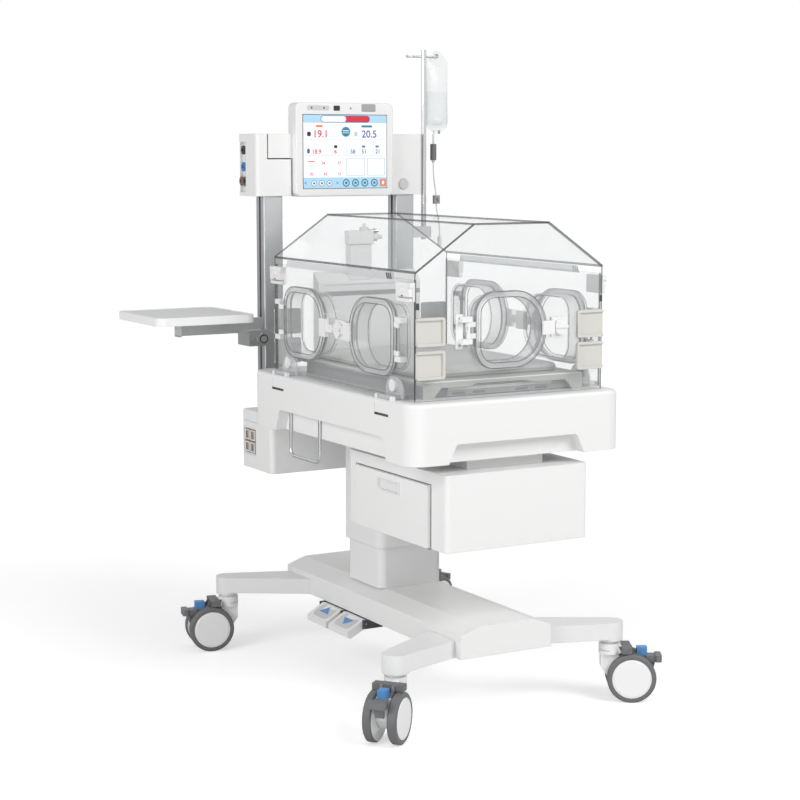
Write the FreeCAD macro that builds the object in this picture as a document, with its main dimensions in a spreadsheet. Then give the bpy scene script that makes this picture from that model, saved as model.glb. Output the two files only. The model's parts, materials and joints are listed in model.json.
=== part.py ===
import FreeCAD, Part
import math
import os
import Sketcher

# Infant incubator, in millimetres. +Z is up, the origin lies on the floor under the middle of
# the whole footprint, +Y is the display's side and -X the side with the drawer and the pedals.

doc = FreeCAD.newDocument("InfantIncubator")
sheet = doc.addObject("Spreadsheet::Sheet", "Sizes")
aliases = []
nodes = {}

TURNS = {
    "X": FreeCAD.Rotation(FreeCAD.Vector(0, 1, 0), 90),
    "Y": FreeCAD.Rotation(FreeCAD.Vector(1, 0, 0), -90),
    "Z": FreeCAD.Rotation(),
}
SKETCH_AXES = {"XY": (0, 1), "XZ": (0, 2), "YZ": (1, 2)}
PAD_AXIS = {"XY": 2, "XZ": 1, "YZ": 0}
SAME_PLACE = 0.01


class Size:
    """A length: its value in millimetres and the sheet expression that gives it."""

    def __init__(self, value, text):
        self.value = value
        self.text = text

    def __add__(self, other):
        other = as_size(other)
        return Size(self.value + other.value, "(%s + %s)" % (self.text, other.text))

    def __radd__(self, other):
        return as_size(other) + self

    def __sub__(self, other):
        other = as_size(other)
        return Size(self.value - other.value, "(%s - %s)" % (self.text, other.text))

    def __rsub__(self, other):
        return as_size(other) - self

    def __mul__(self, other):
        other = as_size(other)
        return Size(self.value * other.value, "%s * %s" % (self.text, other.text))

    def __rmul__(self, other):
        return as_size(other) * self

    def __truediv__(self, other):
        other = as_size(other)
        return Size(self.value / other.value, "%s / %s" % (self.text, other.text))

    def __neg__(self):
        return Size(-self.value, "(0 - %s)" % self.text)


def as_size(value):
    """A plain number as a size that no cell drives."""
    if isinstance(value, Size):
        return value
    return Size(value, "(%r)" % value)


def root_of_squares(first, second):
    """The slanted length over two square sides."""
    first = as_size(first)
    second = as_size(second)
    return Size(math.hypot(first.value, second.value), "hypot(%s; %s)" % (first.text, second.text))


def half_turn_tangent(rise, run):
    """The tangent of half the slope's angle, for a mitre."""
    value = math.tan(math.atan2(rise.value, run.value) / 2)
    return Size(value, "tan(atan(%s / %s) / 2)" % (rise.text, run.text))


def cell(alias, value):
    """Keeps one driving dimension in the sheet."""
    aliases.append(alias)
    row = len(aliases)
    sheet.set("A%d" % row, alias)
    sheet.set("B%d" % row, "%r" % value)
    sheet.setAlias("B%d" % row, alias)
    return Size(value, "Sizes." + alias)


def bind(thing, name, size):
    """Ties one property of an object to the sheet."""
    thing.setExpression(name, as_size(size).text)


def span(first, second):
    """Two places in rising order."""
    if as_size(first).value <= as_size(second).value:
        return (first, second)
    return (second, first)


def box(name, along_x, along_y, along_z):
    """A block between two planes on each axis."""
    block = doc.addObject("Part::Box", name)
    for axis, side, ends in zip("xyz", ("Length", "Width", "Height"), (along_x, along_y, along_z)):
        bind(block, side, as_size(ends[1]) - ends[0])
        bind(block, "Placement.Base." + axis, ends[0])
    return block


def rod(name, axis, centre, ends, radius):
    """A cylinder along one axis, with its centre on the two others."""
    cylinder = doc.addObject("Part::Cylinder", name)
    cylinder.Placement = FreeCAD.Placement(FreeCAD.Vector(), TURNS[axis])
    bind(cylinder, "Radius", radius)
    bind(cylinder, "Height", as_size(ends[1]) - ends[0])
    bind(cylinder, "Placement.Base." + axis.lower(), ends[0])
    for other, place in zip("XYZ".replace(axis, ""), centre):
        bind(cylinder, "Placement.Base." + other.lower(), place)
    return cylinder


def taper(name, axis, centre, ends, first_radius, last_radius):
    """A cone's frustum along one axis."""
    cone = doc.addObject("Part::Cone", name)
    cone.Placement = FreeCAD.Placement(FreeCAD.Vector(), TURNS[axis])
    bind(cone, "Radius1", first_radius)
    bind(cone, "Radius2", last_radius)
    bind(cone, "Height", as_size(ends[1]) - ends[0])
    bind(cone, "Placement.Base." + axis.lower(), ends[0])
    for other, place in zip("XYZ".replace(axis, ""), centre):
        bind(cone, "Placement.Base." + other.lower(), place)
    return cone


def origin_plane(body, plane):
    """One of a body's own origin planes."""
    for feature in body.Origin.OriginFeatures:
        if feature.Role == plane + "_Plane":
            return feature
    raise RuntimeError("no plane " + plane)


def outline(body, name, plane, offset, points):
    """A closed sketch of straight lines on a plane of the body."""
    sketch = body.newObject("Sketcher::SketchObject", name)
    sketch.AttachmentSupport = [(origin_plane(body, plane), "")]
    sketch.MapMode = "FlatFace"
    bind(sketch, "AttachmentOffset.Base.z", offset)
    places = [FreeCAD.Vector(as_size(a).value, as_size(b).value, 0) for a, b in points]
    count = len(points)
    for index in range(count):
        line = Part.LineSegment(places[index], places[(index + 1) % count])
        sketch.addGeometry(line, False)
    for index in range(count):
        sketch.addConstraint(Sketcher.Constraint("Coincident", index, 2, (index + 1) % count, 1))
    for index, place in enumerate(places):
        across = sketch.addConstraint(Sketcher.Constraint("DistanceX", -1, 1, index, 1, place.x))
        bind(sketch, "Constraints[%d]" % across, points[index][0])
        upward = sketch.addConstraint(Sketcher.Constraint("DistanceY", -1, 1, index, 1, place.y))
        bind(sketch, "Constraints[%d]" % upward, points[index][1])
    return sketch


def corner_edges(shape, plane, corners):
    """Names of the edges along the pad at the given corners of its outline."""
    first, second = SKETCH_AXES[plane]
    names = []
    for number, edge in enumerate(shape.Edges, 1):
        ends = [vertex.Point for vertex in edge.Vertexes]
        if len(ends) != 2 or edge.Curve.TypeId != "Part::GeomLine":
            continue
        for corner in corners:
            across = as_size(corner[0]).value
            upward = as_size(corner[1]).value
            if all(abs(p[first] - across) + abs(p[second] - upward) < SAME_PLACE for p in ends):
                names.append("Edge%d" % number)
    return names


def rim_edges(shape, axis, level):
    """Names of the edges that lie in one plane across the pad."""
    names = []
    for number, edge in enumerate(shape.Edges, 1):
        bounds = edge.BoundBox
        low = (bounds.XMin, bounds.YMin, bounds.ZMin)[axis]
        high = (bounds.XMax, bounds.YMax, bounds.ZMax)[axis]
        if abs(low - level) < SAME_PLACE and abs(high - level) < SAME_PLACE:
            names.append("Edge%d" % number)
    return names


def prism(name, plane, ends, points, rounds=(), soft=()):
    """A padded outline. Rounds are (radius, corners); soft are (radius, end) for whole rims."""
    body = doc.addObject("PartDesign::Body", name)
    offset = -as_size(ends[1]) if plane == "XZ" else ends[0]
    sketch = outline(body, name + "Outline", plane, offset, points)
    last = body.newObject("PartDesign::Pad", name + "Pad")
    last.Profile = sketch
    bind(last, "Length", as_size(ends[1]) - ends[0])
    for count, (radius, corners) in enumerate(rounds):
        last.recompute(True)
        edges = corner_edges(last.Shape, plane, corners)
        last = round_off(body, last, "%sRound%d" % (name, count), edges, radius)
    for count, (radius, end) in enumerate(soft):
        last.recompute(True)
        edges = rim_edges(last.Shape, PAD_AXIS[plane], as_size(end).value)
        last = round_off(body, last, "%sSoft%d" % (name, count), edges, radius)
    return body


def round_off(body, base, name, edges, radius):
    """A fillet feature on the named edges."""
    if not edges:
        raise RuntimeError("no edges for " + name)
    fillet = body.newObject("PartDesign::Fillet", name)
    fillet.Base = (base, edges)
    bind(fillet, "Radius", radius)
    return fillet


def rectangle(first, second):
    """Corner points of a rectangle over two ranges, counted anticlockwise from the low corner."""
    low_a, high_a = first
    low_b, high_b = second
    return [(low_a, low_b), (high_a, low_b), (high_a, high_b), (low_a, high_b)]


def slab(name, plane, ends, first, second, radius, soft=()):
    """A rectangular pad with four equal rounded corners."""
    points = rectangle(first, second)
    return prism(name, plane, ends, points, [(radius, points)], soft)


def revolve(name, plane, points, around="V_Axis"):
    """A turned solid: its half outline on one plane, about the sketch's upright or level axis."""
    body = doc.addObject("PartDesign::Body", name)
    sketch = outline(body, name + "Outline", plane, 0, points)
    turned = body.newObject("PartDesign::Revolution", name + "Turn")
    turned.Profile = sketch
    turned.ReferenceAxis = (sketch, [around])
    turned.Angle = 360
    return body


def fuse(name, *pieces):
    """Several pieces joined into one."""
    joined = doc.addObject("Part::MultiFuse", name)
    joined.Shapes = list(pieces)
    return joined


def cut(name, base, *tools):
    """A piece with others taken out of it."""
    result = doc.addObject("Part::Cut", name)
    result.Base = base
    result.Tool = tools[0] if len(tools) == 1 else fuse(name + "Tools", *tools)
    return result


def group(name, *pieces):
    """Separate pieces kept side by side in one sub-part."""
    joined = doc.addObject("Part::Compound", name)
    joined.Links = list(pieces)
    return joined


# Shared places and clearances
stand_x = cell("stand_x", 79.5)
stand_y = cell("stand_y", -106.5)
running_gap = cell("running_gap", 0.3)
shaft_gap = cell("shaft_gap", 0.05)


def node(label, piece, along_x=0, along_y=0, turn=0):
    """Names a finished sub-part, which gives its file's name, and stands it in the common frame."""
    piece.Label = label
    turned = FreeCAD.Rotation(FreeCAD.Vector(0, 0, 1), as_size(turn).value)
    piece.Placement = FreeCAD.Placement(FreeCAD.Vector(), turned)
    bind(piece, "Placement.Base.x", stand_x + along_x)
    bind(piece, "Placement.Base.y", stand_y + along_y)
    nodes[label] = piece
    return piece


# Base: plate, legs and the fixed part of the lift column
base_half = cell("base_half", 133)
base_front = cell("base_front", -361)
base_rear = cell("base_rear", 580)
base_low = cell("base_low", 162)
base_shoulder = cell("base_shoulder", 220)
base_top = cell("base_top", 239)
base_top_half = cell("base_top_half", 77)
leg_top = cell("leg_top", 205)
cap_low = cell("cap_low", 157)
cap_radius = cell("cap_radius", 33)
caster_x = cell("caster_x", 315.3)
caster_front = cell("caster_front", -360.5)
caster_rear = cell("caster_rear", 592.6)
leg_width = cell("leg_width", 120)
front_leg_middle = cell("front_leg_middle", -276)
rear_leg_middle = cell("rear_leg_middle", 500)
swivel_radius = cell("swivel_radius", 10)
swivel_depth = cell("swivel_depth", 30)
column_half = cell("column_half", 95)
column_front = cell("column_front", 105)
column_rear = cell("column_rear", 290)
column_round = cell("column_round", 20)
column_top = cell("column_top", 512)

base_points = [
    (-base_half, base_low), (base_half, base_low), (base_half, base_shoulder),
    (base_top_half, base_top), (-base_top_half, base_top), (-base_half, base_shoulder),
]
node("base_plate", prism("BasePlate", "XZ", (base_front, base_rear), base_points))


def caster_leg(name, side, middle, cap_y):
    """A flat tapering leg with the round cap that holds a caster's swivel."""
    inner_x = side * base_half
    outer_x = side * caster_x
    run = outer_x - inner_x
    drift = cap_y - middle
    length = root_of_squares(run, drift)
    aside = drift / length * cap_radius
    ahead = run / length * cap_radius
    points = [
        (inner_x, middle - side * leg_width / 2),
        (outer_x + aside, cap_y - ahead),
        (outer_x - aside, cap_y + ahead),
        (inner_x, middle + side * leg_width / 2),
    ]
    arm = prism(name + "Arm", "XY", (base_low, leg_top), points)
    cap = rod(name + "Cap", "Z", (outer_x, cap_y), (cap_low, leg_top), cap_radius)
    seat = (cap_low - 1, cap_low + swivel_depth + running_gap)
    bore = rod(name + "Bore", "Z", (outer_x, cap_y), seat, swivel_radius + shaft_gap)
    return cut(name, fuse(name + "Whole", arm, cap), bore)


legs = []
for end, middle, cap_y in (("Front", front_leg_middle, caster_front), ("Rear", rear_leg_middle, caster_rear)):
    legs.append(caster_leg("Leg%sLeft" % end, -1, middle, cap_y))
    legs.append(caster_leg("Leg%sRight" % end, 1, middle, cap_y))
node("caster_legs", group("CasterLegs", *legs))
node("column_inner", slab(
    "ColumnInner", "XY", (base_top, column_top),
    (-column_half, column_half), (column_front, column_rear), column_round))

# Twin wheel casters, in a frame of their own: origin under the swivel, +X along the trail
wheel_radius = cell("wheel_radius", 62.5)
wheel_trail = cell("wheel_trail", 54.4)
wheel_gap_half = cell("wheel_gap_half", 19.5)
wheel_width = cell("wheel_width", 24)
tyre_bevel = cell("tyre_bevel", 4)
disc_radius = cell("disc_radius", 48)
disc_groove = cell("disc_groove", 2)
axle_radius = cell("axle_radius", 6)
fork_half = cell("fork_half", 18.5)
fork_slot_half = cell("fork_slot_half", 11.5)
stem_radius = cell("stem_radius", 27.7)
stem_top = cell("stem_top", 149)
stem_seam = cell("stem_seam", 131)
stem_seam_depth = cell("stem_seam_depth", 1.2)
stem_low = cell("stem_low", 121)
fork_heel_x = cell("fork_heel_x", -23.7)
fork_heel_z = cell("fork_heel_z", 87.5)
fork_sole_x = cell("fork_sole_x", 12)
fork_sole_z = cell("fork_sole_z", 40.5)
fork_toe_x = cell("fork_toe_x", 60.4)
fork_toe_z = cell("fork_toe_z", 35.5)
fork_nose_x = cell("fork_nose_x", 84)
fork_brow_x = cell("fork_brow_x", 80)
fork_brow_z = cell("fork_brow_z", 117)
fork_crown = cell("fork_crown", 140)
collar_radius = cell("collar_radius", 20)
fender_inner = cell("fender_inner", 29)
fender_outer = cell("fender_outer", 54)
fender_low = cell("fender_low", 126)
fender_top = cell("fender_top", 142)
pedal_pin_x = cell("pedal_pin_x", 64)
pedal_pin_z = cell("pedal_pin_z", 109)
pedal_pin_radius = cell("pedal_pin_radius", 4)
pedal_hub_radius = cell("pedal_hub_radius", 8)
pedal_pin_recess = cell("pedal_pin_recess", 2)
pedal_arm_half = cell("pedal_arm_half", 11)
pedal_neck_half = cell("pedal_neck_half", 16)
pedal_bar_inner = cell("pedal_bar_inner", 116)
pedal_bar_outer = cell("pedal_bar_outer", 132)
pedal_bar_half = cell("pedal_bar_half", 22)
pedal_thick = cell("pedal_thick", 16)
pedal_web_low = cell("pedal_web_low", 75)
pedal_web_inner = cell("pedal_web_inner", 14)
pedal_web_outer = cell("pedal_web_outer", 6)
pedal_bar_rise = cell("pedal_bar_rise", 2)
pedal_neck_start = cell("pedal_neck_start", 92)
tab_inner = cell("tab_inner", 69)
tab_outer = cell("tab_outer", 95)
tab_top = cell("tab_top", 138)
trail_front_left = cell("trail_front_left", 220)
trail_front_right = cell("trail_front_right", -31)
trail_rear_left = cell("trail_rear_left", 167)
trail_rear_right = cell("trail_rear_right", 25)


def caster_wheel(name, side):
    """One wheel: tyre with bevelled shoulders and a raised cover disc inside a groove."""
    inner = side * wheel_gap_half
    outer = side * (wheel_gap_half + wheel_width)
    shoulder = side * tyre_bevel
    step = side * disc_groove / 2
    groove_radius = disc_radius + disc_groove
    points = [
        (0, inner), (wheel_radius - tyre_bevel, inner), (wheel_radius, inner + shoulder),
        (wheel_radius, outer - shoulder), (wheel_radius - tyre_bevel, outer - step),
        (groove_radius, outer - step), (disc_radius, outer - 2 * step), (disc_radius - disc_groove, outer),
        (0, outer),
    ]
    wheel = revolve(name, "XY", points)
    bind(wheel, "Placement.Base.x", wheel_trail)
    bind(wheel, "Placement.Base.z", wheel_radius)
    return wheel


def caster_housing(name):
    """Swivel stem, the fork between the wheels and the fender over them."""
    wheel_centre = (wheel_trail, wheel_radius)
    fork_points = [
        (fork_heel_x, stem_seam), (fork_heel_x, fork_heel_z), (fork_sole_x, fork_sole_z),
        (fork_toe_x, fork_toe_z), (fork_nose_x, wheel_radius), (fork_brow_x, fork_brow_z),
        (pedal_pin_x, fender_low), (fender_outer, fender_top), (fender_inner, fender_top), (0, fork_crown),
    ]
    fork = prism(name + "Fork", "XZ", (-fork_half, fork_half), fork_points)
    slot = box(name + "Slot", (fender_outer, pedal_bar_outer), (-fork_slot_half, fork_slot_half),
               (pedal_pin_z - 2 * pedal_hub_radius, fender_top + 1))
    stem = rod(name + "Stem", "Z", (0, 0), (stem_low, stem_top), stem_radius)
    collar = rod(name + "Collar", "Z", (0, 0), (stem_top, cap_low - running_gap), collar_radius)
    shaft = rod(name + "Shaft", "Z", (0, 0), (stem_top, cap_low + swivel_depth), swivel_radius)
    wheel_edge = wheel_gap_half + wheel_width - tyre_bevel
    fender = box(name + "Fender", (fender_inner, fender_outer), (-wheel_edge, wheel_edge),
                 (fender_low, fender_top))
    axle_bore = rod(name + "AxleBore", "Y", wheel_centre, (-fork_half - 1, fork_half + 1),
                    axle_radius + shaft_gap)
    pin_bore = rod(name + "PinBore", "Y", (pedal_pin_x, pedal_pin_z), (-fork_half - 1, fork_half + 1),
                   pedal_pin_radius + shaft_gap)
    seam_z = (stem_seam, stem_seam + stem_seam_depth)
    seam = cut(name + "Seam", rod(name + "SeamRing", "Z", (0, 0), seam_z, stem_radius + 1),
               rod(name + "SeamCore", "Z", (0, 0), (stem_low, stem_top), stem_radius - stem_seam_depth),
               box(name + "SeamEnd", (0, 2 * stem_radius), (-stem_radius, stem_radius), (stem_low, stem_top)))
    whole = fuse(name + "Whole", fork, stem, collar, shaft, fender)
    return cut(name, whole, slot, seam, axle_bore, pin_bore)


def caster_wheels(name):
    """Both wheels on one axle."""
    axle = rod(name + "Axle", "Y", (wheel_trail, wheel_radius), (-wheel_gap_half, wheel_gap_half),
               axle_radius)
    return fuse(name, axle, caster_wheel(name + "A", -1), caster_wheel(name + "B", 1))


def caster_pedal(name):
    """Brake pedal: hub and pin in the fork, arm, cross bar, web and the tab on top."""
    low = pedal_pin_z - pedal_thick / 2
    high = pedal_pin_z + pedal_thick / 2
    arm_points = [
        (pedal_pin_x, low), (pedal_bar_inner - pedal_web_inner, low),
        (pedal_bar_inner - pedal_web_inner, pedal_web_low),
        (pedal_bar_inner - pedal_web_outer, pedal_web_low),
        (pedal_bar_inner, low), (pedal_bar_inner, high),
        (tab_outer, high), (tab_outer, tab_top), (tab_inner, tab_top), (tab_inner, high),
        (pedal_pin_x, high),
    ]
    arm = prism(name + "Arm", "XZ", (-pedal_arm_half, pedal_arm_half), arm_points)
    hub = rod(name + "Hub", "Y", (pedal_pin_x, pedal_pin_z), (-pedal_arm_half, pedal_arm_half),
              pedal_hub_radius)
    pin_half = fork_half - pedal_pin_recess
    pin = rod(name + "Pin", "Y", (pedal_pin_x, pedal_pin_z), (-pin_half, pin_half), pedal_pin_radius)
    neck = box(name + "Neck", (pedal_neck_start, pedal_bar_inner), (-pedal_neck_half, pedal_neck_half),
               (low, high))
    bar = slab(name + "Bar", "XY", (low, high + pedal_bar_rise), (pedal_bar_inner, pedal_bar_outer),
               (-pedal_bar_half, pedal_bar_half), pedal_thick / 4)
    return fuse(name, arm, hub, pin, neck, bar)


for end, side, cap_y, trail in (
        ("front_left", -1, caster_front, trail_front_left),
        ("front_right", 1, caster_front, trail_front_right),
        ("rear_left", -1, caster_rear, trail_rear_left),
        ("rear_right", 1, caster_rear, trail_rear_right)):
    short = "Caster" + end.title().replace("_", "")
    for kind, maker in (("housing", caster_housing), ("wheels", caster_wheels), ("pedal", caster_pedal)):
        piece = maker(short + kind.title())
        node("caster_%s_%s" % (end, kind), piece, side * caster_x, cap_y, trail)

# Foot pedals that raise and lower the bed, on their bracket under the base's left edge
foot_pin_x = cell("foot_pin_x", -140)
foot_pin_z = cell("foot_pin_z", 150)
foot_pin_radius = cell("foot_pin_radius", 4)
foot_low_y = cell("foot_low_y", 110)
foot_length = cell("foot_length", 109)
foot_gap = cell("foot_gap", 14)
foot_ear = cell("foot_ear", 8)
foot_reach = cell("foot_reach", 52)
foot_drop = cell("foot_drop", 22)
foot_thick = cell("foot_thick", 20)
foot_crest = cell("foot_crest", 4)
foot_toe = cell("foot_toe", 8)
foot_toe_drop = cell("foot_toe_drop", 4)
foot_lip = cell("foot_lip", 5)
foot_heel = cell("foot_heel", 7)
pin_slack = cell("pin_slack", 0.5)
ear_reach = cell("ear_reach", 9)
bracket_inner = cell("bracket_inner", -90)
bracket_low = cell("bracket_low", 138)

foot_high_y = foot_low_y + foot_length + foot_gap
foot_end_y = foot_high_y + foot_length
ear_centres = [foot_low_y - foot_gap / 2, foot_high_y - foot_gap / 2, foot_end_y + foot_gap / 2]
bracket_face = foot_pin_x + foot_thick / 2 + running_gap
bracket_block = box(
    "PedalBlock", (bracket_face + 1, bracket_inner),
    (ear_centres[0] - foot_ear / 2, ear_centres[2] + foot_ear / 2), (bracket_low, base_low))
ears = []
for index, middle in enumerate(ear_centres):
    ears.append(box("PedalEar%d" % index, (foot_pin_x - ear_reach, bracket_inner),
                    (middle - foot_ear / 2, middle + foot_ear / 2), (bracket_low, base_low)))
pin_bore = rod("PedalPinBore", "Y", (foot_pin_x, foot_pin_z),
               (ear_centres[0] - foot_ear, ear_centres[2] + foot_ear), foot_pin_radius + shaft_gap)
node("pedal_bracket", cut("PedalBracket", fuse("PedalBracketWhole", bracket_block, *ears), pin_bore))


def foot_pedal(name, low_y):
    """A sloping foot plate on its own length of the pivot pin."""
    high_y = low_y + foot_length
    top = foot_pin_z + foot_thick / 2
    toe_x = foot_pin_x - foot_reach
    toe_low = foot_pin_z - foot_drop - foot_thick / 2
    points = [
        (foot_pin_x + foot_heel, foot_pin_z - foot_thick / 2), (foot_pin_x + foot_heel, top - 1),
        (foot_pin_x - foot_crest, top + 1), (toe_x, foot_pin_z - foot_drop + foot_lip), (toe_x, toe_low),
        (toe_x + foot_toe, toe_low - foot_toe_drop),
    ]
    plate = prism(name + "Plate", "XZ", (low_y, high_y), points)
    pin_ends = (low_y - foot_gap / 2 + pin_slack, high_y + foot_gap / 2 - pin_slack)
    pin = rod(name + "Pin", "Y", (foot_pin_x, foot_pin_z), pin_ends, foot_pin_radius)
    return fuse(name, plate, pin)


node("pedal_lower", foot_pedal("PedalLower", foot_low_y))
node("pedal_raise", foot_pedal("PedalRaise", foot_high_y))

# Bed unit: lift sleeve, support frame and the soft-cornered tray shell
sleeve_half = cell("sleeve_half", 104)
sleeve_front = cell("sleeve_front", 96)
sleeve_rear = cell("sleeve_rear", 299)
sleeve_low = cell("sleeve_low", 350)
sleeve_ceiling = cell("sleeve_ceiling", 8)
sleeve_gap = cell("sleeve_gap", 1)
sleeve_round = cell("sleeve_round", 24)
frame_low = cell("frame_low", 630)
frame_high = cell("frame_high", 656)
frame_front = cell("frame_front", -350)
frame_rear = cell("frame_rear", 450)
rail_inner = cell("rail_inner", 70)
rail_outer = cell("rail_outer", 110)
cross_width = cell("cross_width", 40)
pan_thick = cell("pan_thick", 6)
hood_half = cell("hood_half", 268)
hood_end = cell("hood_end", 373)
shell_margin = cell("shell_margin", 37)
shell_front = cell("shell_front", -418)
shell_rear = cell("shell_rear", 445)
shell_low = cell("shell_low", 658)
shell_top = cell("shell_top", 806)
shell_round = cell("shell_round", 45)
shell_soft = cell("shell_soft", 9)
shell_wall = cell("shell_wall", 50)
shell_roof = cell("shell_roof", 16)
grip_depth = cell("grip_depth", 30)
front_grip_left = cell("front_grip_left", -202)
front_grip_right = cell("front_grip_right", 187)
front_grip_top = cell("front_grip_top", 705)
front_grip_slope = cell("front_grip_slope", 22)
side_grip_front = cell("side_grip_front", -298)
side_grip_rear = cell("side_grip_rear", 298)
side_grip_top = cell("side_grip_top", 714)
side_grip_slope = cell("side_grip_slope", 23)
grip_round = cell("grip_round", 14)
slit_height = cell("slit_height", 6)
slit_low = cell("slit_low", 766)
slit_length = cell("slit_length", 68)
slit_rear = cell("slit_rear", 319)
slit_front = cell("slit_front", -240)
slit_depth = cell("slit_depth", 8)
seam_width = cell("seam_width", 1.5)

sleeve_outside = slab(
    "SleeveOutside", "XY", (sleeve_low, frame_low), (-sleeve_half, sleeve_half),
    (sleeve_front, sleeve_rear), sleeve_round)
sleeve_inside = slab(
    "SleeveInside", "XY", (sleeve_low - 1, frame_low - sleeve_ceiling),
    (-column_half - sleeve_gap, column_half + sleeve_gap),
    (column_front - sleeve_gap, column_rear + sleeve_gap), column_round + sleeve_gap)
node("column_outer", cut("ColumnOuter", sleeve_outside, sleeve_inside))

shell_half = hood_half + shell_margin
cavity_x = (-shell_half + shell_wall, shell_half - shell_wall)
cavity_y = (shell_front + shell_wall, shell_rear - shell_wall)
rail_left = box("RailLeft", (-rail_outer, -rail_inner), (frame_front, frame_rear), (frame_low, frame_high))
rail_right = box("RailRight", (rail_inner, rail_outer), (frame_front, frame_rear), (frame_low, frame_high))
cross_x = (-rail_outer, rail_outer)
cross_front = box("CrossFront", cross_x, (frame_front, frame_front + cross_width), (frame_low, frame_high))
cross_middle = box("CrossMiddle", cross_x, (sleeve_front, sleeve_rear), (frame_low, frame_high))
cross_rear = box("CrossRear", cross_x, (shell_rear - cross_width, shell_rear), (frame_low, frame_high))
pan = box("Pan", (cavity_x[0] + running_gap, cavity_x[1] - running_gap),
          (cavity_y[0] + running_gap, cavity_y[1] - running_gap), (frame_high, frame_high + pan_thick))
node("support_frame", fuse("SupportFrame", rail_left, rail_right, cross_front, cross_middle, cross_rear, pan))


def grip(name, plane, ends, low_end, high_end, top, slope):
    """A hand recess in the lower edge of the shell, with sloping ends."""
    points = [
        (low_end, shell_low - 1), (high_end, shell_low - 1),
        (high_end - slope, top), (low_end + slope, top),
    ]
    return prism(name, plane, ends, points, [(grip_round, points[2:])])


shell_points = rectangle((-shell_half, shell_half), (shell_front, shell_rear))
shell_block = prism("ShellBlock", "XY", (shell_low, shell_top), shell_points,
                    [(shell_round, shell_points)], [(shell_soft, shell_top)])
shell_cavity = box("ShellCavity", cavity_x, cavity_y, (shell_low - 1, shell_top - shell_roof))
shell_cuts = [
    shell_cavity,
    grip("GripFront", "XZ", (shell_front - 1, shell_front + grip_depth), front_grip_left, front_grip_right,
         front_grip_top, front_grip_slope),
    grip("GripLeft", "YZ", (-shell_half - 1, -shell_half + grip_depth), side_grip_front, side_grip_rear,
         side_grip_top, side_grip_slope),
    grip("GripRight", "YZ", (shell_half - grip_depth, shell_half + 1), side_grip_front, side_grip_rear,
         side_grip_top, side_grip_slope),
]
for side in (-1, 1):
    across = span(side * (shell_half - slit_depth), side * (shell_half + 1))
    edge = "Left" if side < 0 else "Right"
    for place, high_y in (("Rear", slit_rear), ("Front", slit_front)):
        slit_y = (high_y - slit_length, high_y)
        seam_y = (high_y - seam_width, high_y)
        seam_x = span(side * (shell_half - seam_width), side * (shell_half + 1))
        shell_cuts.append(box("Slit" + place + edge, across, slit_y, (slit_low, slit_low + slit_height)))
        shell_cuts.append(box("Seam" + place + edge, seam_x, seam_y,
                              (slit_low + slit_height, shell_top - shell_soft)))
shell_body = cut("ShellBody", shell_block, *shell_cuts)

# Drawer cabinet under the frame, its drawer, and the controller box behind
cabinet_half = cell("cabinet_half", 205)
cabinet_front = cell("cabinet_front", -410)
cabinet_rear = cell("cabinet_rear", 75)
cabinet_low = cell("cabinet_low", 442)
cabinet_round = cell("cabinet_round", 12)
cabinet_inset = cell("cabinet_inset", 6)
drawer_front_y = cell("drawer_front_y", -339)
drawer_rear_y = cell("drawer_rear_y", 26)
drawer_low = cell("drawer_low", 443)
drawer_high = cell("drawer_high", 597)
drawer_face = cell("drawer_face", 8)
drawer_wall = cell("drawer_wall", 3)
drawer_depth = cell("drawer_depth", 360)
drawer_slack = cell("drawer_slack", 0.5)
handle_front_y = cell("handle_front_y", -205)
handle_rear_y = cell("handle_rear_y", -95)
handle_low = cell("handle_low", 551)
handle_high = cell("handle_high", 581)
handle_proud = cell("handle_proud", 3)
handle_rim = cell("handle_rim", 6)
pocket_depth = cell("pocket_depth", 6)

opening_y = (drawer_front_y + cabinet_inset, drawer_rear_y - cabinet_inset)
opening_z = (drawer_low + cabinet_inset, drawer_high - cabinet_inset)
cabinet_body = slab("CabinetBody", "XY", (cabinet_low, frame_low), (-cabinet_half, cabinet_half),
                    (cabinet_front, cabinet_rear), cabinet_round)
cabinet_hollow = box("CabinetHollow", (-cabinet_half - 1, cabinet_half - cabinet_inset), opening_y, opening_z)
node("drawer_cabinet", cut("DrawerCabinet", cabinet_body, cabinet_hollow))

face_x = (-cabinet_half - running_gap - drawer_face, -cabinet_half - running_gap)
drawer_y = (opening_y[0] + drawer_slack, opening_y[1] - drawer_slack)
drawer_z = (opening_z[0] + running_gap, opening_z[1] - cabinet_inset)
drawer_plate = slab("DrawerPlate", "YZ", face_x, (drawer_front_y, drawer_rear_y),
                    (drawer_low, drawer_high), cabinet_inset)
drawer_bin = box("DrawerBin", (face_x[1], face_x[1] + drawer_depth), drawer_y, drawer_z)
drawer_room = box("DrawerRoom", (face_x[1] + drawer_wall, face_x[1] + drawer_depth - drawer_wall),
                  (drawer_y[0] + drawer_wall, drawer_y[1] - drawer_wall),
                  (drawer_z[0] + drawer_wall, drawer_z[1] + 1))
bezel_points = rectangle((handle_front_y, handle_rear_y), (handle_low, handle_high))
bezel = prism("HandleBezel", "YZ", (face_x[0] - handle_proud, face_x[0]), bezel_points,
              [(handle_rim, [bezel_points[0]]), (handle_high - handle_low - handle_rim, [bezel_points[1]])])
pocket_points = rectangle((handle_front_y + handle_rim, handle_rear_y - handle_rim / 2),
                          (handle_low + handle_rim / 2, handle_high - handle_rim / 2))
pocket = prism("HandlePocket", "YZ", (face_x[0] - handle_proud - 1, face_x[0] + pocket_depth), pocket_points,
               [(handle_rim / 2, [pocket_points[0]]), (handle_high - handle_low - 2 * handle_rim,
                                                       [pocket_points[1]])])
node("drawer", cut("Drawer", fuse("DrawerWhole", drawer_plate, drawer_bin, bezel), drawer_room, pocket))

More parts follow.
